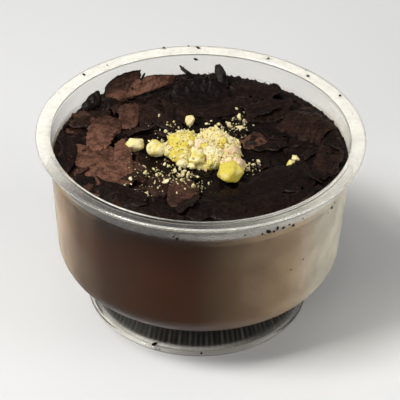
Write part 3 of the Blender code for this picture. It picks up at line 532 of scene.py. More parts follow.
def mottle(name):
    """Soft uneven patches: a share between 0 and 1 that wanders over the surface."""
    look, given, leave = new_group(name, {"Patch size": 0.005, "Contrast": 0.15, "Detail": 3.0}, ["Share"])
    scale = look.calculate("DIVIDE", 1.0, given["Patch size"])
    cloud = look.cloud(look.node("TexCoord").outputs["Object"], scale, given["Detail"], 0.55)
    low = look.calculate("SUBTRACT", 0.5, given["Contrast"])
    high = look.calculate("ADD", 0.5, given["Contrast"])
    look.put(leave["Share"], look.spread(cloud, low, high))
    return look.tree


def crumb_relief(name):
    """Fine broken relief: rounded grains with smaller noise on them, as a height between 0 and 1, and a
    share for painted shade in the pits between them.
    """
    look, given, leave = new_group(name, {"Grain size": 0.0008}, ["Height", "Pits"])
    place = look.node("TexCoord").outputs["Object"]
    scale = look.calculate("DIVIDE", 1.0, given["Grain size"])
    grain = look.node("TexVoronoi", {"Vector": place, "Scale": scale}, feature="SMOOTH_F1")
    depth = grain.outputs["Distance"]
    fine = look.cloud(place, look.times(scale, 2.6), 3.0, 0.6)
    rounded = look.calculate("SUBTRACT", 1.0, depth)
    look.put(leave["Height"], look.calculate("MULTIPLY_ADD", fine, 0.45, rounded))
    look.put(leave["Pits"], look.spread(depth, 0.35, 0.75))
    return look.tree


def blade_streaks(name):
    """The streaks that a blade leaves along a shaving, as a height and a share of pale scratches."""
    look, given, leave = new_group(name, {"Streak width": 0.5}, ["Height", "Scratches"])
    along = look.times(look.painted("along"), 0.12)
    across = look.calculate("DIVIDE", look.painted("across"), given["Streak width"])
    chance = look.times(look.painted("chance"), 37.0)
    place = look.node("CombineXYZ", {"X": along, "Y": across, "Z": chance}).outputs[0]
    streaks = look.cloud(place, 1.0, 4.0, 0.65)
    look.put(leave["Height"], streaks)
    look.put(leave["Scratches"], look.spread(streaks, 0.60, 0.74))
    return look.tree


def finish(name, make, *details):
    """The material of that name, made the first time it is asked for."""
    if name not in bpy.data.materials:
        material = bpy.data.materials.new(name)
        material.use_nodes = True
        look = Look(material.node_tree)
        shader = look.tree.nodes["Principled BSDF"]
        for socket, value in make(look, *details).items():
            look.put(shader.inputs[socket], value)
    return bpy.data.materials[name]


def plastic(look, settings, gloss, ior, roughness):
    """Clear plastic, faintly smudged. Light from the lamps passes it to reach what it holds."""
    clear = look.node("BsdfTransparent", {"Color": settings.tint})
    in_shadow = look.node("LightPath").outputs["Is Shadow Ray"]
    shader = look.tree.nodes["Principled BSDF"]
    choice = look.node("MixShader", {0: in_shadow, 1: shader.outputs[0], 2: clear.outputs[0]})
    look.put(look.tree.nodes["Material Output"].inputs["Surface"], choice.outputs[0])
    light = 1.0 - settings.foot_shade
    foot_shade_tint = (light, light * 0.99, light * 0.96, 1.0)
    smudges = look.mottle(0.012, 0.22, 3.0)
    return {
        # Painted shade: the grey tint of the foot.
        "Base Color": look.mix(look.painted("shade"), settings.tint, foot_shade_tint),
        "Roughness": look.spread(smudges, 0.0, 1.0, roughness * 0.8, roughness * 1.4),
        "Transmission Weight": 1.0 - settings.haze,
        "IOR": ior,
        "Specular Tint": (gloss, gloss, gloss, 1.0),
        "Normal": look.bump(look.mottle(0.009, 0.5, 1.0), 0.00003),
    }


def mist_look(look, settings):
    """Colour and share of the film in the plastic, from what the mesh carries: clouding, with painted sheen,
    highlights and shade.
    """
    mist = look.painted("mist")
    white = look.painted("white")
    colour = look.mix(look.spread(mist, 0.50, 0.90), settings.thin_mist, settings.thick_mist)
    colour = look.mix(white, colour, settings.rim_mist)
    # A white value above 1 paints the highlight on the foot's lip.
    colour = look.mix(look.spread(white, 1.0, 2.0), colour, LIP_HIGHLIGHT_COLOUR)
    # The dark film paints the shade in the foot.
    colour = look.mix(look.painted("dark"), colour, FOOT_SHADE_COLOUR)
    uneven = look.spread(look.mottle(0.008, 0.30, 4.0), 0.0, 1.0, 0.78, 1.12)
    uneven = look.times(uneven, look.spread(look.mottle(0.0016, 0.10, 2.0), 0.0, 0.2, 0.9, 1.0))
    return colour, look.times(mist, uneven, clamp=True)


def film(look, settings):
    colour, share = mist_look(look, settings)
    return {"Base Color": colour, "Alpha": share, "Roughness": 0.8, "Specular IOR Level": 0.0}


def custard(look, settings, cup):
    """Dark custard, paler where the wall's film is painted on it: clouding of the plastic and painted sheen.
    """
    colour = look.mix(look.mottle(0.016, 0.16, 2.0), settings.colour, settings.second_colour)
    smear = look.times(look.mottle(0.006, 0.30, 1.0), 0.25)
    colour = look.mix(smear, colour, (0.055, 0.026, 0.013, 1.0))
    colour = look.mix(look.painted("dim"), colour, (0.016, 0.0065, 0.003, 1.0))
    mist, share = mist_look(look, cup)
    return {"Base Color": look.mix(share, colour, mist), "Roughness": 0.6, "Specular IOR Level": 0.0}


def shaved_chocolate(look, settings):
    """Matt chocolate from dark to milk, streaked and pitted, with painted shade in the pits and painted
    highlights or shade on the edges.
    """
    streaks = look.group(blade_streaks, {"Streak width": 0.55})
    crumbs = look.group(crumb_relief, {"Grain size": 0.0008})
    flecks = look.mottle(0.0009, 0.10, 3.0)
    edge = look.painted("edge")
    patches = look.spread(look.mottle(0.0026, 0.16, 4.0), 0.0, 1.0, 0.64, 1.30)
    tone = look.times(look.painted("tone"), patches)
    tone = look.times(tone, look.spread(flecks, 0.0, 1.0, 0.80, 1.12))
    # Painted shade in the pits between the grains.
    tone = look.times(tone, look.spread(crumbs["Pits"], 0.0, 1.0, 1.06, 0.78))
    tone = look.times(tone, look.spread(streaks["Height"], 0.3, 0.7, 0.78, 1.20), clamp=True)
    colour = look.mix(tone, settings.dark, settings.milk)
    # Painted highlights on the edges, with pale scratches that are partly painted glints.
    pale = look.calculate("MAXIMUM", look.times(edge, 0.60), look.times(streaks["Scratches"], 0.20))
    paler = look.mix(1.0, colour, (2.3, 2.2, 2.2, 1.0), blend="MULTIPLY")
    colour = look.mix(pale, colour, paler)
    colour = look.mix(look.times(pale, 0.30), colour, (0.10, 0.075, 0.062, 1.0))
    # Painted shade on the edges whose rim value is below 0.
    colour = look.mix(look.times(edge, -0.8, clamp=True), colour, settings.dark)
    height = look.calculate("MULTIPLY_ADD", crumbs["Height"], 0.8, streaks["Height"])
    rough = look.spread(look.painted("tone"), 0.05, 0.40, 0.35, 1.0)
    return {
        "Base Color": colour,
        "Roughness": look.spread(flecks, 0.0, 1.0, 0.26, 0.48),
        "Specular IOR Level": 0.085,
        "Normal": look.bump(look.times(height, rough), 0.00020),
    }


def cut_pistachio(look, settings):
    """Nut flesh from yellow green over cream to the pinkish skin, with fine pits."""
    grain = look.group(crumb_relief, {"Grain size": 0.0006})
    uneven = look.calculate("MULTIPLY_ADD", look.mottle(0.0016, 0.20, 4.0), 0.36, -0.18)
    tone = look.calculate("ADD", look.painted("tone"), uneven)
    colour = look.mix(look.spread(tone, 0.10, 0.50), settings.green, settings.cream)
    colour = look.mix(look.spread(tone, 0.60, 0.90), colour, settings.skin)
    paler = look.times(look.spread(look.painted("chance"), 0.4, 1.0), 0.55)
    colour = look.mix(paler, colour, (0.87, 0.78, 0.54, 1.0))
    return {
        # Painted shade in the pits between the grains.
        "Base Color": look.mix(look.times(grain["Pits"], 0.30), colour, (0.34, 0.22, 0.06, 1.0)),
        "Roughness": 0.62,
        "Subsurface Weight": 0.25,
        "Subsurface Radius": (1.0, 0.7, 0.25),
        "Subsurface Scale": 0.0006,
        "Normal": look.bump(grain["Height"], 0.00015),
    }


def plain_floor(look, settings):
    dimmer = [channel * 0.97 for channel in settings.floor[:3]] + [1.0]
    return {"Base Color": look.mix(look.mottle(0.30, 0.4, 2.0), settings.floor, dimmer), "Roughness": 0.7}


# A finish with its settings and the part's slot that it stands for.
CHOCOLATE = (shaved_chocolate, "custard_shavings", "dark_chocolate")
PISTACHIO = (cut_pistachio, "custard_nuts", "pistachio")


# ---- Mesh building ----


class Bits:
    """Points, faces and painted values of many like bits, gathered for one mesh."""

    def __init__(self):
        self.points = []
        self.faces = []
        self.painted = {name: [] for name in ("tone", "edge", "along", "across", "chance")}

    def add(self, points, faces, **values):
        first = len(self.points)
        self.points += points
        self.faces += [[first + corner for corner in face] for face in faces]
        for name, kept in self.painted.items():
            given = values.get(name, 0.0)
            kept += given if isinstance(given, list) else [given] * len(points)

    def show(self, name, kind, sharp_angle=None):
        """The bits as one shown piece, made of chocolate or pistachio."""
        mesh = bpy.data.meshes.new(name)
        mesh.from_pydata(self.points, [], self.faces)
        for label, kept in self.painted.items():
            carry(mesh, label, kept)
        make, settings, slot = kind
        material = finish(make.__name__, make, getattr(bpy.context.scene, settings))
        return add_piece(name, mesh, material, slot, sharp_angle)


def new_object(name, data):
    made = bpy.data.objects.new(name, data)
    bpy.context.scene.collection.objects.link(made)
    return made


def add_piece(name, mesh, material, slot, sharp_angle=None):
    """The mesh as a shown piece on the part's one body."""
    mesh.materials.append(material)
    mesh.shade_smooth()
    if sharp_angle is not None:
        mesh.set_sharp_from_angle(angle=radians(sharp_angle))
    piece = new_object(name, mesh)
    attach(piece, "root")
    return piece


def carry(mesh, name, values):
    """Gives each vertex its value."""
    layer = mesh.attributes.new(name, "FLOAT", "POINT")
    layer.data.foreach_set("value", np.array(values, np.float32))


def paint(mesh, name, value_at):
    """Gives each vertex the value for its place."""
    carry(mesh, name, [value_at(*vertex.co) for vertex in mesh.vertices])


def around(steps):
    """The angles of a full turn in even steps."""
    return [tau * i / steps for i in range(steps)]


def polar(radius, angle, *height):
    """The place at a radius and angle, with its height where one is given."""
    return (radius * cos(angle), radius * sin(angle), *height)


def arc(centre_r, centre_z, radius, start, end, steps):
    """Points of an arc in the (radius, height) plane, from one angle to another in degrees."""
    angles = [radians(start + (end - start) * i / steps) for i in range(steps + 1)]
    return [(centre_r + radius * cos(angle), centre_z + radius * sin(angle)) for angle in angles]


def wander(*place):
    """Smooth noise, near -1 to 1."""
    return noise.noise(Vector(place))


def grains(x, y, z, pitch):
    """Rounded grains of the pitch, from 0 in the joints to about 1 on a grain's top."""
    return max(0.0, 1.0 - noise.voronoi(Vector((x, y, z)) / pitch)[0][0])


def smooth(value, low, high):
    """0 below the low value, 1 above the high one, and a soft step between."""
    share = min(1.0, max(0.0, (value - low) / (high - low)))
    return share * share * (3.0 - 2.0 * share)


def key_of(x, y):
    """A number that sets a shaving's own unevenness."""
    return x * 0.37 + y * 0.61


def chance_of(key):
    """A number from 0 to 1, from the key of a shaving or nut."""
    return (sin(key * 12.9898) * 43758.5453) % 1.0


def turned(name, outline, steps, shift=None):
    """A closed mesh turned round the axis, from an outline that ends on the axis or else is a loop.

    shift(ring, angle) gives the (outward, up) move of a ring's point.
    """
    on_axis = outline[0][0] == 0.0
    rings = outline[1:-1] if on_axis else outline
    points = []
    for index, (radius, height) in enumerate(rings):
        for angle in around(steps):
            out, up = shift(index + on_axis, angle) if shift else (0.0, 0.0)
            points.append(polar(radius + out, angle, height + up))
    count = len(points)
    last = count - steps
    if on_axis:
        points += [(0.0, 0.0, outline[0][1]), (0.0, 0.0, outline[-1][1])]
    faces = []
    for i in range(steps):
        j = (i + 1) % steps
        faces += [(low + i, low + j, low + steps + j, low + steps + i) for low in range(0, last, steps)]
        if on_axis:
            faces += [(count, j, i), (count + 1, last + i, last + j)]
        else:
            faces.append((last + i, last + j, j, i))
    mesh = bpy.data.meshes.new(name)
    mesh.from_pydata(points, [], faces)
    shape = bmesh.new()
    shape.from_mesh(mesh)
    bmesh.ops.recalc_face_normals(shape, faces=shape.faces[:])
    shape.to_mesh(mesh)
    shape.free()
    return mesh


# ---- Cup ----
# An azimuth is in degrees from the front, and above 0 at the right.


def wall_radius(height):
    """Outer radius of the bowl above its rounded corner, a straight taper."""
    corner_height = BOWL_UNDERSIDE + CORNER_RADIUS
    share = (height - corner_height) / (WALL_TOP_HEIGHT - corner_height)
    return WALL_FOOT_RADIUS + (WALL_TOP_RADIUS - WALL_FOOT_RADIUS) * share


def flare_radius(height):
    """Outer radius of the foot between its neck and its lip."""
    share = (NECK_HEIGHT - height) / (NECK_HEIGHT - FLARE_HEIGHT)
    return NECK_RADIUS + (FLARE_RADIUS - NECK_RADIUS) * share ** FLARE_CURVE


def bowl_corner(inset, start, end, steps):
    """The bowl's lower corner, moved in from the outer face by the inset."""
    centre_r = WALL_FOOT_RADIUS - CORNER_RADIUS
    return arc(centre_r, BOWL_UNDERSIDE + CORNER_RADIUS, CORNER_RADIUS - inset, start, end, steps)


def cup_outline():
    """The shell from the bowl's floor over the rim to its underside, and the flutes' two end rings."""
    lip = RIM_HEIGHT - RIM_THICKNESS
    upper = RIM_HEIGHT - RIM_EDGE_ROUND
    outer = RIM_RADIUS - RIM_EDGE_ROUND
    mouth = wall_radius(RIM_HEIGHT) - WALL + RIM_EDGE_ROUND
    inner_floor = BOWL_UNDERSIDE + WALL
    levels = [30.0 * MM, 40.0 * MM, 50.0 * MM]
    outline = [(0.0, inner_floor), (CORNER_RADIUS, inner_floor), *bowl_corner(WALL, -90, 0, 14)]
    outline += [(wall_radius(height) - WALL, height) for height in levels]
    outline += arc(mouth, upper, RIM_EDGE_ROUND, 180, 90, 8)
    outline += arc(outer, upper, RIM_EDGE_ROUND, 90, 0, 7)
    outline += arc(outer, lip + RIM_EDGE_ROUND, RIM_EDGE_ROUND, 0, -90, 7)
    outline += arc(WALL_TOP_RADIUS + RIM_FILLET, lip - RIM_FILLET, RIM_FILLET, 90, 180, 6)
    outline += [(wall_radius(height), height) for height in reversed(levels)]
    outline += bowl_corner(0.0, 0, -90, 16)
    outline += arc(NECK_RADIUS + NECK_FILLET, NECK_HEIGHT, NECK_FILLET, 90, 180, 4)
    first_flute = len(outline)
    drop = FLARE_HEIGHT - NECK_HEIGHT + 0.2 * MM
    heights = [NECK_HEIGHT - 0.2 * MM + drop * i / FLARE_STEPS for i in range(FLARE_STEPS + 1)]
    flare = [(flare_radius(height), height) for height in heights]
    outline += flare
    last_flute = len(outline) - 1
    outline.append(FOOT_SHOULDER)
    outline += arc(FOOT_RADIUS - FOOT_EDGE_ROUND, FOOT_LIP_HEIGHT, FOOT_EDGE_ROUND, 75, 0, 5)
    outline += [(FOOT_RADIUS - 0.05 * MM, 0.35 * MM), (FOOT_REST_OUTER, 0.0), (FOOT_REST_INNER, 0.0)]
    outline += [(radius - WALL, height) for radius, height in reversed(flare[::2])]
    outline += [(radius, BOWL_UNDERSIDE) for radius in (NECK_RADIUS - WALL, CORNER_RADIUS, 0.0)]
    return outline, first_flute, last_flute


def add_cup(settings):
    outline, first_flute, last_flute = cup_outline()
    low_flute = FLUTE_END_HEIGHT - 0.8 * MM

    def flute(ring, angle):
        if not first_flute <= ring <= last_flute:
            return 0.0, 0.0
        height = outline[ring][1]
        share = smooth(height, low_flute, FLUTE_END_HEIGHT + 0.8 * MM)
        share *= 1.0 - smooth(height, NECK_HEIGHT - 1.0 * MM, NECK_HEIGHT)
        wave = 0.5 - 0.5 * cos(angle * settings.flutes)
        return -settings.flute_depth * share * wave ** 1.4, 0.0

    # Painted shade as a grey tint of the foot: darker in the flutes' grooves, lighter under the lip's
    # painted highlight.
    def shade(x, y, z):
        foot = 1.0 - smooth(z, 10.5 * MM, 12.3 * MM)
        lip = LIP_SHADE * foot * (1.0 - 0.9 * lip_shine(degrees(atan2(x, -y))))
        groove = 0.5 - 0.5 * cos(atan2(y, x) * settings.flutes)
        fluted = foot * smooth(z, low_flute, FLUTE_END_HEIGHT + 1.0 * MM)
        return lip + (1.0 - LIP_SHADE) * fluted * (0.55 + 0.45 * groove)

    mesh = turned("cup_shell", outline, settings.flutes * STEPS_PER_FLUTE, flute)
    paint(mesh, "shade", shade)
    clear = finish("moulded_plastic", plastic, settings, 1.0, 1.45, settings.roughness)
    wall = finish("wall_plastic", plastic, settings, DULL_GLOSS, DULL_IOR, settings.wall_roughness)
    piece = add_piece("cup_shell", mesh, clear, "clear_plastic", sharp_angle=50)
    mesh.materials.append(wall)
    for face in mesh.polygons:
        outward = face.center.x * face.normal.x + face.center.y * face.normal.y > 0.0
        if FLUTE_END_HEIGHT < face.center.z < (WALL_GLOSS_TOP if outward else BOWL_UNDERSIDE):
            face.material_index = 1
    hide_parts("cup")


def lip_shine(azimuth):
    """How much painted highlight the foot's lip gets: most at the front left."""
    return smooth(azimuth, -52.0, -24.0) * (1.0 - smooth(azimuth, -24.0, 12.0))


def in_flutes(z):
    return smooth(z, FLUTE_END_HEIGHT - 0.6 * MM, FLUTE_END_HEIGHT + 0.4 * MM)


def mist_share(azimuth, radius, z):
    """How thick the pale film on the wall is: all round over the topping, and down the flanks, where it is
    partly clouding and partly painted sheen.
    """
    if z < BOWL_UNDERSIDE - 1.0 * MM:
        fluted = in_flutes(z)
        # The lip's film is thicker under its painted highlight.
        return (0.52 + 0.46 * lip_shine(azimuth)) * (1.0 - fluted) + 0.62 * fluted
    over_topping = smooth(z, 49.6 * MM, 50.4 * MM)
    right = smooth(azimuth, -5.0, 67.0) * smooth(180.0 - azimuth, 40.0, 90.0)
    left = smooth(-azimuth, 44.0, 78.0) * smooth(180.0 + azimuth, 40.0, 90.0)
    front = 1.0 - smooth(abs(azimuth), 30.0, 80.0)
    if z > RIM_HEIGHT - RIM_THICKNESS:
        # Painted highlights: bright rings at the flange's outer and inner edges at the front.
        line = smooth(radius, *RIM_GLINT_LINE) * (0.10 + 0.22 * smooth(azimuth, -42.0, -14.0))
        side = 0.75 - 0.12 * smooth(azimuth, 40.0, 100.0) * smooth(180.0 - azimuth, 0.0, 60.0)
        mouth = (1.0 - smooth(radius, *MOUTH_GLINT_LINE)) * (0.10 + 0.65 * smooth(-azimuth, 6.0, 26.0))
        return max(side * smooth(abs(azimuth), 40.0, 110.0), front * line, front * mouth)
    band = 0.05 * (1.0 - front) + front * (0.02 + 0.34 * smooth(azimuth, -18.0, 32.0))
    band *= 1.0 - 0.85 * front * smooth(z, 51.5 * MM, 53.0 * MM)
    # Painted sheen down the right flank and at the left edge, together with clouding.
    flank = max(0.88 * right, 0.7 * left * (1.0 - 0.75 * over_topping))
    brown = 0.10 * max(smooth(-azimuth, 36.0, 52.0), smooth(azimuth, 100.0, 140.0))
    return max(band * over_topping, flank, brown * (1.0 - over_topping))


def white_share(azimuth, radius, z):
    """How white the film is: in the rim and over the topping, as painted sheen at the right edge and as a
    painted highlight in the foot's lip.
    """
    # Painted sheen at the right edge.
    edge = 0.8 * smooth(azimuth, 72.0, 88.0) * smooth(180.0 - azimuth, 60.0, 90.0)
    lip = (1.0 + lip_shine(azimuth)) * (1.0 - smooth(z, 4.0 * MM, 6.0 * MM))
    return max(smooth(z, 49.4 * MM, 51.0 * MM), lip, edge)


def dark_share(azimuth, radius, z):
    """How much painted shade the film carries: in the fluted part of the foot, and in its lip but for the
    front left.
    """
    lip = 0.85 * smooth(azimuth, 4.0, 40.0) + 0.6 * smooth(-azimuth, 50.0, 75.0)
    lip += 0.25 * smooth(-azimuth, 120.0, 180.0)
    ridge = (0.5 + 0.5 * cos(radians(azimuth) * RIBS)) ** 2
    ridge *= max(0.0, 0.45 + 1.3 * wander(azimuth / 2.6, 3.0, 1.0))
    fluted = in_flutes(z) * (1.0 - 0.26 * ridge * smooth(6.5 * MM - z, 0.0, 3.0 * MM))
    fluted *= 1.0 - 0.30 * smooth(-azimuth, 18.0, 50.0) * smooth(180.0 + azimuth, 0.0, 60.0)
    return max(fluted, lip) * (1.0 - smooth(z, BOWL_UNDERSIDE - 0.8 * MM, BOWL_UNDERSIDE))


def paint_mist(mesh):
    for name, share in (("mist", mist_share), ("white", white_share), ("dark", dark_share)):
        paint(mesh, name, lambda x, y, z: share(degrees(atan2(x, -y)), hypot(x, y), z))


def thin_loop(outline):
    """A closed loop of the film's thickness that follows an outline on its inner side."""
    return outline + [(radius - FILM, height) for radius, height in reversed(outline)]


def add_mist(settings):
    """Thin films within the plastic over the custard, in the rim and in the foot: pale clouding with painted
    sheen and highlights, and painted shade in the foot.
    """
    lowest = CUSTARD_TOP - WALL_BITE
    heights = [lowest + (WALL_TOP_HEIGHT - lowest) * i / 9 for i in range(10)]
    wall = thin_loop([(wall_radius(height) - WALL_FILM_DEPTH, height) for height in heights])
    rings = [WALL_TOP_RADIUS - 0.55 * MM, *MOUTH_GLINT_LINE, *RIM_GLINT_LINE, RIM_RADIUS - 0.35 * MM]
    rim = [(radius, RIM_FILM_HEIGHT) for radius in rings]
    rim += [(radius, RIM_FILM_HEIGHT + FILM) for radius in reversed(rings)]
    heights = [height * 0.3 * MM for height in range(3, 36)]
    foot = thin_loop([(flare_radius(height) - FOOT_FILM_DEPTH, height) for height in heights])
    material = finish("clouded_film", film, settings)
    for name, loop, steps in (("wall_mist", wall, 1), ("rim_mist", rim, 1), ("foot_mist", foot, 3)):
        mesh = turned(name, loop, steps * SECTORS)
        paint_mist(mesh)
        add_piece(name, mesh, material, "clear_plastic")


# ---- Custard and bed ----


def contact_height(angle):
    """Height at which the topping's edge meets the wall: highest at the front, lowest at the left."""
    front = 0.5 - 0.5 * sin(angle)
    left = max(0.0, -cos(angle))
    uneven = 0.35 * wander(*polar(3.0, angle, 4.0)) + 0.22 * wander(*polar(22.0, angle, 6.0))
    ragged = max(0.0, wander(*polar(46.0, angle, 9.0))) * (1.0 - front)
    return (49.2 + 0.8 * front - 1.1 * left ** 3 + uneven + 1.8 * ragged) * MM


def add_custard(settings):
    inset = WALL - WALL_BITE
    top_radius = wall_radius(CUSTARD_TOP) - inset
    outline = [(radius, CUSTARD_TOP) for radius in (0.0, top_radius * 0.5, top_radius - 1.2 * MM)]
    outline += [(top_radius - 0.4 * MM, CUSTARD_TOP + 0.10 * MM), (top_radius, CUSTARD_TOP + 0.3 * MM)]
    wall_ring = len(outline) - 1
    outline += [(wall_radius(height * MM) - inset, height * MM) for height in range(45, 21, -3)]
    outline += bowl_corner(inset, 0, -90, 14)
    outline += [(CORNER_RADIUS, BOWL_UNDERSIDE + inset), (0.0, BOWL_UNDERSIDE + inset)]

    def climb(ring, angle):
        return 0.0, 0.25 * MM * wander(*polar(6.0, angle, 1.0)) if ring == wall_ring else 0.0

    mesh = turned("custard_fill", outline, SECTORS, climb)
    paint(mesh, "dim", lambda x, y, z: 0.7 * smooth(z, 34.0 * MM, 46.5 * MM))
    paint_mist(mesh)
    material = finish("custard_brown", custard, settings, bpy.context.scene.custard_cup)
    piece = add_piece("custard_fill", mesh, material, "custard", sharp_angle=50)
    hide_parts("custard")


def bed_height(x, y):
    """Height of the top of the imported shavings: a low dome with bumps that die out under the nuts."""
    share = min(1.0, hypot(x, y) / BED_RADIUS)
    slope = max(0.0, share - BED_LEVEL_SHARE) / (1.0 - BED_LEVEL_SHARE)
    dome = BED_RISE * (1.0 - slope * slope)
    from_heap = hypot((x - HEAP_X) / HEAP_HALF_X, (y - HEAP_Y) / HEAP_HALF_Y)
    bump_share = min(1.0, max(0.0, (from_heap - BED_SEAT_EDGE) / BED_SEAT_FADE))
    bump = wander(x / BED_BUMP_PITCH, y / BED_BUMP_PITCH, 3.0)
    return CUSTARD_TOP + GAP + BED_EDGE_HEIGHT + dome + BED_BUMP * bump * bump_share


def add_bed():
    """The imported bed: crumbly on top, and pressed against the wall up to an uneven line."""
    points = [(0.0, 0.0, bed_height(0.0, 0.0))]
    tones = [0.08]
    edge_radius = wall_radius(49.0 * MM) - WALL + WALL_BITE
    for ring in range(1, BED_RINGS + 1):
        share = ring / BED_RINGS
        for angle in around(BED_SECTORS):
            x, y = polar(edge_radius * share, angle)
            crunch = 0.5 + 0.5 * wander(x / 0.009, y / 0.009, 8.0)
            crumb = grains(x, y, 0.0, 1.7 * MM) * (0.4 + 0.6 * crunch) + grains(x, y, 7.0, 0.7 * MM) * 0.25
            height = bed_height(x, y) - 0.35 * MM + crumb * MM
            height += (contact_height(angle) - height) * max(0.0, (share - 0.94) / 0.06) ** 2
            points.append((x, y, height))
            # At the left the crumbs' tops are browner and their hollows darker: milk chocolate there, and
            # painted shade between the crumbs.
            brown = max(0.0, -cos(angle)) * share
            tones.append(0.03 + 0.14 * crumb * brown + 0.05 * wander(x / 0.004, y / 0.004, 5.0))
    underside = CUSTARD_TOP - 0.2 * MM
    for level in (0.35, 0.7, 1.0):
        for angle in around(BED_SECTORS):
            top = contact_height(angle)
            height = top + (underside - top) * level
            dent = wander(angle * 26.0, height / (0.8 * MM), 2.0)
            points.append(polar(edge_radius - 0.35 * MM * max(0.0, dent - 0.15), angle, height))
            tones.append(0.04 + 0.10 * max(0.0, -sin(angle)) + 0.05 * dent)
    beside = [(i, (i + 1) % BED_SECTORS) for i in range(BED_SECTORS)]
    faces = [(0, 1 + i, 1 + j) for i, j in beside]
    last = len(points) - BED_SECTORS
    for low in range(1, last, BED_SECTORS):
        high = low + BED_SECTORS
        faces += [(low + i, high + i, high + j, low + j) for i, j in beside]
    faces.append([last + i for i in reversed(range(BED_SECTORS))])
    bits = Bits()
    bits.add(points, faces, tone=tones)
    piece = bits.show("shaving_bed", CHOCOLATE)
    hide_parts("chocolate_shavings")


# ---- Shavings ----


def spots(columns, rows, place):
    """What place(s, t) gives over a sheet, s along and t across it from -1 to 1, as lines across."""
    lines = []
    for column in range(columns + 1):
        s = 2.0 * column / columns - 1.0
        lines.append([place(s, 2.0 * row / rows - 1.0) for row in range(rows + 1)])
    return lines


def bent(place, half, angle):
    """Where a place goes in a sheet of the half size that bends up by the angle, and how far it rises."""
    bend = radians(angle) / 2
    if abs(bend) <= 0.01:
        return place, 0.0
    radius = half / bend
    return radius * sin(place / radius), radius * (1.0 - cos(place / radius))


def sheet(spec, columns, rows, nicks):
    """A shaving's middle surface in place, as lines of [point, along, across] in millimetres."""
    half_length = spec.length * MM / 2
    half_width = spec.width * MM / 2
    turn = Euler((radians(spec.roll), -radians(spec.pitch), radians(spec.heading)), "XYZ")
    middle = Vector((spec.x * MM, spec.y * MM, 0.0))
    middle.z = bed_height(middle.x, middle.y) + spec.lift * MM
    key = key_of(spec.x, spec.y)
    skew = SHAVING_SKEW * wander(key, 8.5, 2.5)

    def place(s, t):
        ragged_end = 1.0 + SHAVING_RAGGED_END * wander(key, t * 1.3, s)
        ragged_end += nicks * (0.10 * wander(key, t * 4.0, 3.0 + s) + 0.04 * wander(key, t * 11.0, s))
        ragged_side = 1.0 + SHAVING_RAGGED_SIDE * wander(s * 2.3, key, 5.0 + t)
        ragged_side += nicks * (0.13 * wander(s * 5.0, key, t) + 0.06 * wander(s * 13.0, key, 2.0 + t))
        along = half_length * (s * ragged_end + skew * t)
        across = t * half_width * ragged_side * (1.0 - SHAVING_TAPER * abs(s) ** 3)
        level, curl_rise = bent(across, half_width, spec.curl)
        rise = curl_rise + bent(along, half_length, spec.sweep)[1]
        return [Vector((along, level, rise)), along / MM, across / MM]

    lines = spots(columns, rows, place)
    flat = [spot[0] for line in lines for spot in line]
    balance = sum(point.z for point in flat) / len(flat)
    for point in flat:
        point.z -= balance
        point.rotate(turn)
        point += middle
    return lines


def heap_distance(x, y):
    """How far a place is outside the nuts' footprint, as a share of its half sizes; under 1 is inside."""
    reach_x = HEAP_HALF_X + HEAP_CLEARANCE
    return hypot((x - HEAP_X) / reach_x, (y - HEAP_Y) / (HEAP_HALF_Y + HEAP_CLEARANCE))


def crosses_heap(points):
    def near(point, nut):
        reach = max(nut.size_x, nut.size_y) * MM / 2 + SHAVING_THICKNESS
        return hypot(point.x - nut.x * MM, point.y - nut.y * MM) < reach

    return any(
        heap_distance(point.x, point.y) < 1.0 or any(near(point, nut) for nut in HEAP_NUTS)
        for point in points
    )


def settled(spec, columns, rows):
    """The move that brings a shaving clear of the nuts, the wall and the height of the rim, or None if it
    has no room.
    """
    points = [spot[0] for line in sheet(spec, columns, rows, 0.0) for spot in line]
    start = points[0].copy()
    centre = sum(points, Vector()) / len(points)
    away = Vector((centre.x - HEAP_X, centre.y - HEAP_Y, 0.0)).normalized() * STEP_ASIDE
    for _ in range(STEPS_ASIDE):
        if not crosses_heap(points):
            break
        for point in points:
            point += away
    else:
        return None
    reach = max(points, key=lambda point: hypot(point.x, point.y))
    excess = hypot(reach.x, reach.y) - (LIMIT_RADIUS - SHAVING_THICKNESS / 2)
    if excess > 0.0:
        inward = Vector((-reach.x, -reach.y, 0.0)).normalized() * excess
        for point in points:
            point += inward
    if crosses_heap(points):
        return None
    move = points[0] - start
    move.z = -max(0.0, max(point.z for point in points) - (LIMIT_HEIGHT - SHAVING_THICKNESS / 2))
    return move


def through(ends, s):
    """The point at s, from -1 to 1, on the curve through three points."""
    left, middle, right = (Vector(end) * MM for end in ends)
    return left * (s * (s - 1.0) / 2.0) + middle * (1.0 - s * s) + right * (s * (s + 1.0) / 2.0)


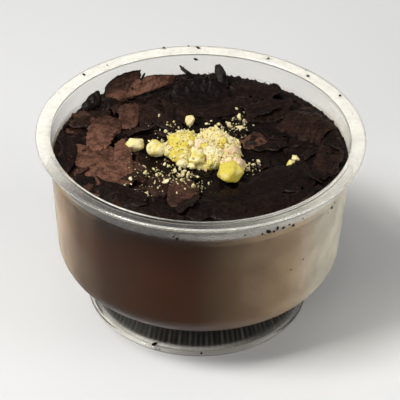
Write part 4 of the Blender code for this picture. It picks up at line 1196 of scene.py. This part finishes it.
def add_leaf(bits, leaf):
    """A leaf between its two edges, with its ends and sides nicked."""
    key = key_of(leaf.near[0][0], leaf.far[0][1])
    length = (Vector(leaf.near[2]) - Vector(leaf.near[0])).length
    width = (Vector(leaf.far[1]) - Vector(leaf.near[1])).length
    side = through(leaf.near, 1.0) - through(leaf.near, -1.0)
    upward = side.cross(through(leaf.far, 0.0) - through(leaf.near, 0.0)).normalized()
    rounding = LEAF_ROUNDING if leaf.belly > 0.0 and length > SMALL_LEAF else 0.04
    nicks = 2.2 if length < SMALL_LEAF else 1.0

    def place(s, t):
        end_nick = 1.0 + nicks * (0.07 * wander(key, t * 3.0, s) + 0.05 * wander(key, t * 9.0, s))
        side_nick = 1.0 + nicks * (0.09 * wander(s * 4.0, key, t) + 0.07 * wander(s * 11.0, key, t))
        share = (t * side_nick * (1.0 - rounding * abs(s) ** 4) + 1.0) / 2.0
        end = s * end_nick * (1.0 - rounding * abs(t) ** 4)
        near = through(leaf.near, end)
        bulge = leaf.belly * MM * (1.0 - t * t) * (1.0 - 0.6 * s * s)
        point = near + (through(leaf.far, end) - near) * share + upward * bulge
        return [point, s * length / 2, t * width / 2]

    lines = spots(max(12, round(length * 3.0)), max(12, round(width * 3.0)), place)
    tones = (leaf.tone_near, leaf.tone_far)
    add_plate(bits, lines, SHAVING_THICKNESS * 0.9, key, tones, leaf.ridge, leaf.rim)


def add_plate(bits, lines, thick, key, tones, ridge, rim_tone):
    """A chip of chocolate over its middle surface: thin ragged edges, ribs, lumps and streaks."""
    columns = len(lines) - 1
    rows = len(lines[0]) - 1
    upward = 1.0 if sheet_normal(lines, columns // 2, rows // 2).z > -0.05 else -1.0
    light = smooth(max(tones), 0.15, 0.6)
    tops, bottoms, edges, shades = [], [], [], []
    for column, line in enumerate(lines):
        s = 2.0 * column / columns - 1.0
        for row, (point, along, across) in enumerate(line):
            t = 2.0 * row / rows - 1.0
            normal = sheet_normal(lines, column, row) * upward
            rim = max(abs(s), abs(t))
            half = thick * 0.5 * (1.0 - 0.62 * rim ** 5)
            ribs = 0.6 * sin(along * 3.4 + 2.2 * wander(across * 0.5, along * 0.3, key))
            ribs += wander(along * 0.2, across * 1.9, key + 3.0)
            lumps = 0.22 * wander(along * 0.35, across * 0.35, key)
            lumps += (0.15 - 0.09 * light) * wander(along, across, key)
            grain = (grains(*point, MEALY_GRAIN) - 0.5) * (0.25 + light)
            relief = (ridge * ribs + lumps + MEALY_RELIEF * grain) * MM * (1.0 - 0.5 * rim ** 6)
            tops.append(point + normal * (half + relief))
            bottoms.append(point - normal * half)
            # Painted light on the edge: a highlight where rim_tone is above 0, shade where it is below.
            edges.append(max(0.0, (rim - 0.86) / 0.14) * rim_tone)
            tone = tones[0] + (tones[1] - tones[0]) * (row / rows)
            # The tone rises on the grains' tops and falls between them: painted light and shade on the mealy
            # relief, over random unevenness.
            shades.append(tone * (1.0 + 0.30 * wander(along * 0.3, across * 0.4, key) + 0.35 * grain))
    for spot in tops + bottoms:
        spot.z = min(max(spot.z, CUSTARD_TOP), RIM_HEIGHT - 0.4 * MM)
    wide = rows + 1
    count = len(tops)
    border = [*range(rows), *range(rows, count - 1, wide)]
    border += [*range(count - 1, columns * wide, -1), *range(columns * wide, 0, -wide)]
    middles = [(top + bottom) / 2 for top, bottom in zip(tops, bottoms)]
    centre = sum(middles, Vector()) / count
    points = tops + bottoms
    points += [middles[i] + (middles[i] - centre).normalized() * thick * 0.16 for i in border]
    faces = []
    for column in range(columns):
        for a in range(column * wide, column * wide + rows):
            b = a + wide
            faces.append((a, b, b + 1, a + 1))
            faces.append((count + a, count + a + 1, count + b + 1, count + b))
    for i, index in enumerate(border):
        j = (i + 1) % len(border)
        faces.append((index, border[j], 2 * count + j, 2 * count + i))
        faces.append((2 * count + i, 2 * count + j, count + border[j], count + index))

    def all_round(values, below=1.0):
        """The top's values for the top, the underside and the border."""
        return values + [value * below for value in values] + [values[i] for i in border]

    alongs, acrosses = ([spot[k] for line in lines for spot in line] for k in (1, 2))
    bits.add(
        points,
        faces,
        # The underside is painted darker, as shade.
        tone=all_round(shades, 0.8),
        edge=edges + edges + [rim_tone] * len(border),
        along=all_round(alongs),
        across=all_round(acrosses),
        chance=chance_of(key),
    )


def sheet_normal(lines, column, row):
    before = lines[max(0, column - 1)][row][0]
    after = lines[min(len(lines) - 1, column + 1)][row][0]
    line = lines[column]
    side = line[min(len(line) - 1, row + 1)][0] - line[max(0, row - 1)][0]
    return (after - before).cross(side).normalized()


def add_shaving(bits, spec, coarse, fine, thickness=1.0):
    """A shaving of the table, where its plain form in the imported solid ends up."""
    move = settled(spec, *coarse)
    if move is None:
        return
    lines = sheet(spec, *fine, 1.0)
    for line in lines:
        for spot in line:
            spot[0] += move
    key = key_of(spec.x, spec.y)
    thick = SHAVING_THICKNESS * thickness * (0.75 + 0.4 * ((key * 7.7) % 1.0))
    # Shavings get a faint painted highlight on their edges.
    add_plate(bits, lines, thick, key, (spec.tone, spec.tone), spec.ridge, 0.25)


def filler_shavings():
    """Smaller shavings strewn evenly between the large ones, lying flatter at the front right."""
    draw = random.Random(FILLER_SEED)
    for i in range(FILLER_COUNT):
        radius = FILLER_REACH * sqrt((i + 0.7) / FILLER_COUNT)
        x, y = polar(radius, GOLDEN_TURN * i + draw.uniform(-0.3, 0.3))
        settle = FRONT_RIGHT_SETTLE if x > 0.0 and y < 8.0 else 1.0
        length = draw.uniform(6.0, 10.0)
        width = length * draw.uniform(0.45, 0.75)
        lift = 0.5 + draw.uniform(0.0, 0.8) * settle
        heading = draw.uniform(0.0, 180.0)
        pitch, roll, curl = [draw.uniform(-most, most) * settle for most in (12.0, 28.0, 40.0)]
        tone = 0.05 + 0.3 * max(0.0, -x / FILLER_REACH) ** 2
        yield Shaving("filler", x, y, lift, length, width, heading, pitch, roll, curl, 0.0, tone, 0.1)


def add_large_shavings():
    bits = Bits()
    for spec in SHAVINGS:
        fine = (max(10, round(spec.length * 2.6)), max(8, round(spec.width * 2.6)))
        add_shaving(bits, spec, (3, 2), fine)
    for leaf in LEAVES:
        add_leaf(bits, leaf)
    for spec in filler_shavings():
        fine = (max(8, round(spec.length * 2.0)), max(6, round(spec.width * 2.0)))
        add_shaving(bits, spec, (2, 1), fine)
    bits.show("large_shavings", CHOCOLATE, 60)


def surface_of(names):
    """A search tree over the named pieces, to find what lies under a place."""
    points = []
    faces = []
    for name in names:
        mesh = bpy.data.objects[name].data
        first = len(points)
        points += [vertex.co.copy() for vertex in mesh.vertices]
        faces += [[first + corner for corner in face.vertices] for face in mesh.polygons]
    return BVHTree.FromPolygons(points, faces)


def top_at(tree, x, y):
    """The topmost point and its normal over a place."""
    place, normal, _, _ = tree.ray_cast(Vector((x, y, RIM_HEIGHT * 2)), Vector((0.0, 0.0, -1.0)))
    if place is None:
        raise RuntimeError("nothing lies under %.4f, %.4f" % (x, y))
    return place, normal


def is_bare(x, y):
    """Whether a place in millimetres is on a leaf or smooth shaving that stays free of slivers."""
    spans = []
    for leaf in LEAVES:
        near = [Vector(point).xy for point in leaf.near]
        far = Vector(leaf.far[1]).xy
        spans.append(((near[1] + far) / 2, (near[2] - near[0]) / 2, (far - near[1]) / 2))
    for spec in SHAVINGS:
        if spec.name in BARE_SHAVINGS:
            along = Vector(polar(1.0, radians(spec.heading)))
            across = along.orthogonal()
            spans.append((Vector((spec.x, spec.y)), along * spec.length / 2, across * spec.width / 2))
    for middle, side, reach in spans:
        away = Vector((x, y)) - middle
        if max(abs(away.cross(reach)), abs(side.cross(away))) < BARE_SHARE * abs(side.cross(reach)):
            return True
    return False


def add_small_shavings(settings):
    """Slivers and flakes of 1.1 to 5.2 mm, dropped on what lies there and leaning with it."""
    tree = surface_of(["shaving_bed", "large_shavings"])
    draw = random.Random(SLIVER_SEED)
    bits = Bits()
    for i in range(settings.small_count):
        radius = SLIVER_REACH * sqrt((i + 0.5) / settings.small_count)
        if i % 3 == 0:
            radius = draw.uniform(*SLIVER_EDGE)
        x, y = polar(radius, GOLDEN_TURN * i + draw.uniform(-0.5, 0.5))
        length = draw.uniform(1.6, 5.2) * (0.7 if draw.random() < 0.5 else 1.0)
        width = length * draw.uniform(0.2, 0.62)
        heading = draw.uniform(0.0, 180.0)
        pitch = draw.gauss(0.0, 17.0)
        roll = draw.gauss(0.0, 24.0)
        curl = draw.uniform(-70.0, 70.0)
        left = max(0.0, -x / 40.0)
        tone = max(0.0, draw.gauss(0.06, 0.05)) + left * draw.uniform(0.0, 0.55) * (1.0 if y < 20 else 0.3)
        if heap_distance(x * MM, y * MM) < 0.86 or is_bare(x, y):
            continue
        place, normal = top_at(tree, x * MM, y * MM)
        bed = bed_height(x * MM, y * MM)
        if place.z > bed + 1.2 * MM and draw.random() < 0.85:
            continue
        lean = UP.rotation_difference(normal).to_euler()
        pitch -= degrees(lean.y) * 0.3
        roll += degrees(lean.x) * 0.3
        lift = (place.z - bed) / MM + 0.12
        spec = Shaving("sliver", x, y, lift, length, width, heading, pitch, roll, curl, 0.0, tone, 0.05)
        fine = (max(4, round(length * 2.0)), max(3, round(width * 2.4)))
        add_shaving(bits, spec, (2, 1), fine, thickness=0.5)
    bits.show("small_shavings", CHOCOLATE, 60)


# ---- Lumps: nuts and crumbs ----


def ball(subdivisions):
    """Points and faces of a unit ball of even triangles."""
    shape = bmesh.new()
    bmesh.ops.create_icosphere(shape, subdivisions=subdivisions, radius=1.0)
    shape.verts.ensure_lookup_table()
    points = [vert.co.copy() for vert in shape.verts]
    faces = [[vert.index for vert in face.verts] for face in shape.faces]
    shape.free()
    return points, faces


def hull_tree(corners):
    """A search tree over the convex hull of the corners."""
    shape = bmesh.new()
    for corner in corners:
        shape.verts.new(corner)
    bmesh.ops.convex_hull(shape, input=shape.verts[:])
    tree = BVHTree.FromBMesh(shape)
    shape.free()
    return tree


def nut_corners(nut, centre, floor_height, corners, draw):
    """Corners drawn on a boxy lump that is turned and tipped, none lower than what the nut lies on."""
    half = Vector((nut.size_x, nut.size_y, nut.size_z)) * (MM / 2)
    turn = Euler((radians(nut.tip), 0.0, radians(nut.heading)))
    found = []
    for i in range(corners):
        level = 1.0 - 2.0 * (i + 0.5) / corners
        angle = GOLDEN_TURN * i + draw.uniform(-0.35, 0.35)
        place = Vector(polar(sqrt(1.0 - level * level), angle, level))
        place *= sum(abs(part) ** NUT_BOXINESS for part in place) ** (-1.0 / NUT_BOXINESS)
        place = place * half * (0.94 + NUT_ANGULARITY * (draw.uniform(0.84, 1.04) - 0.94))
        place.rotate(turn)
        corner = centre + place
        if floor_height is not None:
            corner.z = max(corner.z, floor_height)
        found.append(corner)
    return found


def add_nut(bits, nut, centre, corners, subdivisions, low=None):
    """One chopped nut: the cut form between its corners, softened and broken up by grains."""
    tree = hull_tree(corners)
    directions, faces = ball(subdivisions)
    points, tones = [], []
    key = nut.x * 0.7 + nut.y * 1.3
    size = min(1.0, min(nut.size_x, nut.size_z) / 4.0)
    rough = 0.15 + 0.85 * nut.mealy
    softness = NUT_SOFTNESS + 0.08 * nut.mealy + 0.05 * smooth(nut.size_x, 5.5, 8.0)
    for direction in directions:
        hit, _, facet, distance = tree.ray_cast(centre, direction)
        if hit is None:
            hit, _, facet, distance = tree.find_nearest(centre + direction * nut.size_x * MM)
            distance = (hit - centre).length
        across = direction.orthogonal() * softness
        for turn in around(6):
            aside = Matrix.Rotation(turn, 3, direction) @ across
            near, _, _, reach = tree.ray_cast(centre, (direction + aside).normalized())
            distance += min(reach, distance) if near else distance
        place = centre + direction * (distance / 7)
        coarse = grains(*place, 1.9 * MM)
        fine = grains(place.x + 0.1, place.y, place.z, 0.75 * MM)
        relief = rough * (0.50 * (coarse - 0.55) + 0.24 * (fine - 0.5)) * MM
        for pitch, height in ((0.0028, 0.16 + 0.24 * nut.mealy), (0.0012, 0.07 + 0.15 * nut.mealy)):
            relief += height * MM * wander(place.x / pitch, place.y / pitch, place.z / pitch + key)
        place += direction * relief * size
        if low is not None:
            place.z = max(place.z, low)
        points.append(place)
        facet_tone = 0.15 * sin(facet * 7.31 + key * 3.0)
        tones.append(nut.tone + facet_tone * (1.0 - nut.tone * 0.4) + 0.15 * (0.5 - coarse))
    bits.add(points, faces, tone=tones, chance=chance_of(key))


def heap_place(reach, angle):
    """The place in the direction, reach being 1 at the edge of the heap."""
    return HEAP_X + HEAP_HALF_X * reach * cos(angle), HEAP_Y + HEAP_HALF_Y * reach * sin(angle)


def add_pistachios():
    """The heap over its own low core, and the single nuts that lie on the shavings."""
    bits = Bits()
    seat = bed_height(HEAP_X, HEAP_Y) + GAP
    low = seat - HEAP_FOOT
    directions, faces = ball(5)
    core, tones = [], []
    for direction in directions:
        rise = max(0.0, direction.z) * HEAP_CORE_HEIGHT
        x = HEAP_X + direction.x * HEAP_HALF_X * HEAP_CORE_SHARE
        y = HEAP_Y + direction.y * HEAP_HALF_Y * HEAP_CORE_SHARE
        grain = grains(x, y, rise, 1.4 * MM) * 0.6 + grains(x, y, rise, 0.7 * MM) * 0.25
        rise += (grain - 0.3) * MM * min(1.0, rise / (0.5 * MM))
        core.append(Vector((x, y, rise + (low if direction.z < 0.0 else seat))))
        tones.append(0.30 + 0.5 * (0.4 - grain))
    bits.add(core, faces, tone=tones)
    draw = random.Random(NUT_SEED)
    for nut in HEAP_NUTS:
        rise = nut.lift + nut.size_z * (0.5 - NUT_SINK)
        centre = Vector((nut.x * MM, nut.y * MM, seat + rise * MM))
        corners = nut_corners(nut, centre, seat, NUT_CORNERS, draw)
        add_nut(bits, nut, centre, corners, 5 if nut.size_x > 5.5 else 4, low)
    for i in range(HEAP_CRUMBS):
        reach = 1.02 * sqrt((i + 0.5) / HEAP_CRUMBS)
        x, y = heap_place(reach, tau * CRUMB_TURN * i)
        size = draw.uniform(2.2, 3.6)
        tone = 0.30 + 0.25 * sin(i * 2.1)
        crumb = Nut("crumb", x / MM, y / MM, 0.0, size, size * 0.9, size * 0.8, 0, 0, tone, 0.5)
        surface = HEAP_CORE_HEIGHT * sqrt(max(0.0, 1.0 - (reach / HEAP_CORE_SHARE) ** 2))
        centre = Vector((x, y, seat + surface + size * MM * 0.3))
        add_nut(bits, crumb, centre, nut_corners(crumb, centre, seat, CRUMB_CORNERS, draw), 3, low)
    piece = bits.show("pistachio_heap", PISTACHIO, 70)
    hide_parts("chopped_pistachios")
    loose = Bits()
    draw = random.Random(NUT_SEED)
    for nut in LOOSE_NUTS:
        x = nut.x * MM
        y = nut.y * MM
        centre = Vector((x, y, bed_height(x, y) + nut.lift * MM - nut.size_z * MM / 2))
        add_nut(loose, nut, centre, nut_corners(nut, centre, None, NUT_CORNERS, draw), 4)
    loose.show("loose_pistachios", PISTACHIO, 70)


class Crumbs(Bits):
    """Turned and scaled copies of a few uneven little lumps."""

    def __init__(self, seed, kinds, subdivisions):
        super().__init__()
        self.draw = random.Random(seed)
        self.shapes = []
        base, self.shape_faces = ball(subdivisions)
        for kind in range(kinds):
            stretch = Vector([self.draw.uniform(*span) for span in ((0.8, 1.5), (0.6, 1.1), (0.4, 0.85))])
            shape = []
            for point in base:
                reach = 1.0 + 0.55 * wander(point.x * 1.6, point.y * 1.6, point.z * 1.6 + kind * 5.0)
                reach += 0.35 * wander(point.x * 4.0, point.y * 4.0, point.z * 4.0 + kind * 3.0)
                shape.append(point * stretch * reach)
            self.shapes.append(shape)

    def drop(self, place, normal, size, tone, flat=1.0):
        """One crumb of the size in metres, resting on the surface at the place, partly sunk in."""
        shape = self.draw.choice(self.shapes)
        turn = Euler([self.draw.uniform(0.0, tau) for _ in range(3)]).to_matrix()
        matrix = UP.rotation_difference(normal).to_matrix() @ Matrix.Diagonal((1.0, 1.0, flat)) @ turn
        points = [matrix @ point * (size / 2) for point in shape]
        middle = place - normal * (min(point.dot(normal) for point in points) * CRUMB_SINK)
        points = [middle + point for point in points]
        self.add(points, self.shape_faces, tone=tone, chance=self.draw.random())


def nut_tone(x, y):
    """Tone of the nut of the heap that is nearest to a place."""
    return min(HEAP_NUTS, key=lambda nut: hypot(x - nut.x * MM, y - nut.y * MM)).tone


def add_nut_crumbs(settings):
    """Nut crumbs: thick on the heap, single larger ones round it, and fine ones in patches."""
    tree = surface_of(["shaving_bed", "large_shavings", "small_shavings", "pistachio_heap"])
    crumbs = Crumbs(NUT_CRUMB_SEED, 9, 1)
    draw = crumbs.draw
    for i in range(settings.heap_crumb_count):
        angle = draw.uniform(0.0, tau)
        x, y = heap_place(1.08 * sqrt(draw.random()), angle)
        if x < 0.0 and draw.random() < 0.60:
            x -= draw.uniform(0.0, 6.0) * MM
        size = draw.uniform(0.3, 1.0) * MM
        tone = 0.6 * nut_tone(x, y) + 0.2 + draw.gauss(0.0, 0.10)
        crumbs.drop(*top_at(tree, x, y), size, tone)
    for crumb in BIG_CRUMBS:
        crumbs.drop(*top_at(tree, crumb.x * MM, crumb.y * MM), crumb.size * MM, crumb.tone)
    for i in range(settings.crumb_count):
        patch = CRUMB_PATCHES[i % len(CRUMB_PATCHES)]
        x = draw.gauss(patch.x, patch.spread_x) * MM
        y = draw.gauss(patch.y, patch.spread_y) * MM
        size = (0.20 + draw.expovariate(4.2)) * MM
        crumbs.drop(*top_at(tree, x, y), size, draw.uniform(0.40, 0.66))
    crumbs.show("pistachio_crumbs", PISTACHIO, 28)


def add_chocolate_crumbs(settings):
    tree = surface_of(["shaving_bed", "large_shavings", "small_shavings"])
    crumbs = Crumbs(CHOCOLATE_CRUMB_SEED, 9, 1)
    draw = crumbs.draw
    for i in range(settings.crumb_count):
        radius = CRUMB_REACH * sqrt(draw.random())
        x, y = polar(radius, draw.uniform(0.0, tau))
        size = (0.22 + draw.expovariate(4.0)) * MM
        if heap_distance(x, y) < 0.8 or size > LARGEST_CRUMB:
            continue
        if is_bare(x / MM, y / MM) and draw.random() < 0.75:
            continue
        left = max(0.0, -x / (40.0 * MM))
        tone = max(0.0, draw.gauss(0.08, 0.08)) + left * draw.uniform(0.3, 0.8)
        crumbs.drop(*top_at(tree, x, y), size, tone)
    crumbs.show("chocolate_crumbs", CHOCOLATE, 50)


def add_specks():
    """Single specks of chocolate on the rim, the wall and the foot."""
    crumbs = Crumbs(SPECK_SEED, 6, 2)
    for speck in SPECKS:
        out = Vector(polar(1.0, radians(speck.angle), 0.0))
        if speck.height is None:
            place, normal = out * speck.radius * MM + UP * RIM_HEIGHT, UP
        elif speck.radius is None:
            height = speck.height * MM
            place, normal = out * (wall_radius(height) - WALL) + UP * height, -out
        else:
            place = (out * speck.radius + UP * speck.height) * MM
            normal = out if place.z > BOWL_UNDERSIDE else (out + UP).normalized()
        crumbs.drop(place, normal, speck.size * MM, SPECK_TONE, flat=SPECK_FLATNESS)
    crumbs.show("rim_crumbs", CHOCOLATE, 60)


# ---- Stage ----


def add_light(name, place, size_x, size_y, power):
    lamp = bpy.data.lights.new(name, "AREA")
    lamp.shape = "RECTANGLE"
    lamp.size = size_x
    lamp.size_y = size_y
    lamp.energy = power
    light = new_object(name, lamp)
    light.location = place
    light.rotation_euler = (LIGHT_TARGET - Vector(place)).to_track_quat("-Z", "Y").to_euler()
    light.visible_transmission = False


def add_stage(settings):
    shape = bmesh.new()
    bmesh.ops.create_grid(shape, x_segments=8, y_segments=8, size=FLOOR_SIZE / 2)
    mesh = bpy.data.meshes.new("floor")
    shape.to_mesh(mesh)
    shape.free()
    mesh.materials.append(finish("plain_floor", plain_floor, settings))
    floor = new_object("floor", mesh)
    floor.location.z = -0.05 * MM
    add_light("key", (-0.50, -0.20, 0.90), 0.34, 0.34, settings.key_power)
    add_light("fill", (0.85, -0.25, 0.40), 0.5, 0.5, settings.fill_power)
    add_light("low", (-0.58, -0.66, 0.32), 0.32, 0.16, settings.low_power)
    world = bpy.data.worlds.new("surroundings")
    world.use_nodes = True
    background = world.node_tree.nodes["Background"]
    background.inputs["Color"].default_value = (0.97, 0.985, 1.0, 1.0)
    background.inputs["Strength"].default_value = settings.sky
    bpy.context.scene.world = world
    bpy.context.scene.view_settings.view_transform = "Standard"
    add_camera()


def add_camera():
    """The camera, fitted to the rim, foot and outline of the cup."""
    elevation = radians(CAMERA_ELEVATION)
    roll = radians(CAMERA_ROLL)
    back = Vector((0.0, -cos(elevation), sin(elevation)))
    level = Vector((1.0, 0.0, 0.0))
    upright = Vector((0.0, sin(elevation), cos(elevation)))
    right = level * cos(roll) + upright * sin(roll)
    up = upright * cos(roll) - level * sin(roll)
    lens = bpy.data.cameras.new("camera")
    lens.sensor_width = CAMERA_SENSOR
    lens.lens = CAMERA_LENS
    lens.clip_start = 0.01
    camera = new_object("camera", lens)
    turn = Matrix((right, up, back)).transposed().to_4x4()
    camera.matrix_world = Matrix.Translation(CAMERA_TARGET + back * CAMERA_DISTANCE) @ turn
    bpy.context.scene.camera = camera


# ---- Operators and panel ----


class CUSTARD_OT_cup(bpy.types.Operator):
    """Turn the clear cup with its fluted foot"""

    bl_idname = "custard.cup"
    bl_label = "Clear cup"

    def execute(self, context):
        add_cup(context.scene.custard_cup)
        add_mist(context.scene.custard_cup)
        return {"FINISHED"}


class CUSTARD_OT_custard(bpy.types.Operator):
    """Fill the cup with custard"""

    bl_idname = "custard.custard"
    bl_label = "Custard"

    def execute(self, context):
        add_custard(context.scene.custard_fill)
        return {"FINISHED"}


class CUSTARD_OT_shavings(bpy.types.Operator):
    """Lay the bed of shavings, the large shavings and the small slivers between them"""

    bl_idname = "custard.shavings"
    bl_label = "Chocolate shavings"

    def execute(self, context):
        add_bed()
        add_large_shavings()
        add_small_shavings(context.scene.custard_shavings)
        return {"FINISHED"}


class CUSTARD_OT_pistachios(bpy.types.Operator):
    """Heap the chopped pistachios, with single nuts and fine crumbs round them"""

    bl_idname = "custard.pistachios"
    bl_label = "Chopped pistachios"

    def execute(self, context):
        add_pistachios()
        add_nut_crumbs(context.scene.custard_nuts)
        return {"FINISHED"}


class CUSTARD_OT_crumbs(bpy.types.Operator):
    """Strew chocolate crumbs on the topping, and a few specks on the rim and the wall"""

    bl_idname = "custard.crumbs"
    bl_label = "Chocolate crumbs"

    def execute(self, context):
        add_chocolate_crumbs(context.scene.custard_shavings)
        add_specks()
        return {"FINISHED"}


class CUSTARD_OT_stage(bpy.types.Operator):
    """Set the floor, the lights and the camera"""

    bl_idname = "custard.stage"
    bl_label = "Floor, lights and camera"

    def execute(self, context):
        add_stage(context.scene.custard_stage)
        return {"FINISHED"}


class CUSTARD_PT_panel(bpy.types.Panel):
    """Lists the pieces of the custard cup"""

    bl_idname = "CUSTARD_PT_panel"
    bl_label = "Chocolate custard cup"
    bl_space_type = "VIEW_3D"
    bl_region_type = "UI"
    bl_category = "Custard"

    def draw(self, context):
        for settings, operators in PANEL_ROWS:
            box = self.layout.box()
            group = getattr(context.scene, settings)
            for name in group.__annotations__:
                box.prop(group, name)
            for operator in operators:
                box.operator(operator.bl_idname)


PANEL_ROWS = [
    ("custard_cup", [CUSTARD_OT_cup]),
    ("custard_fill", [CUSTARD_OT_custard]),
    ("custard_shavings", [CUSTARD_OT_shavings, CUSTARD_OT_crumbs]),
    ("custard_nuts", [CUSTARD_OT_pistachios]),
    ("custard_stage", [CUSTARD_OT_stage]),
]
SETTINGS = {
    "custard_cup": CupSettings,
    "custard_fill": CustardSettings,
    "custard_shavings": ShavingSettings,
    "custard_nuts": NutSettings,
    "custard_stage": StageSettings,
}
CLASSES = [*SETTINGS.values()]
CLASSES += [operator for _, operators in PANEL_ROWS for operator in operators]
CLASSES.append(CUSTARD_PT_panel)


def register():
    for item in CLASSES:
        bpy.utils.register_class(item)
    for name, settings in SETTINGS.items():
        setattr(bpy.types.Scene, name, PointerProperty(type=settings))


def unregister():
    for name in SETTINGS:
        delattr(bpy.types.Scene, name)
    for item in reversed(CLASSES):
        bpy.utils.unregister_class(item)


def main():
    register()
    bpy.ops.custard.cup()
    bpy.ops.custard.custard()
    bpy.ops.custard.shavings()
    bpy.ops.custard.pistachios()
    bpy.ops.custard.crumbs()
    bpy.ops.custard.stage()


if __name__ == "__main__":
    main()
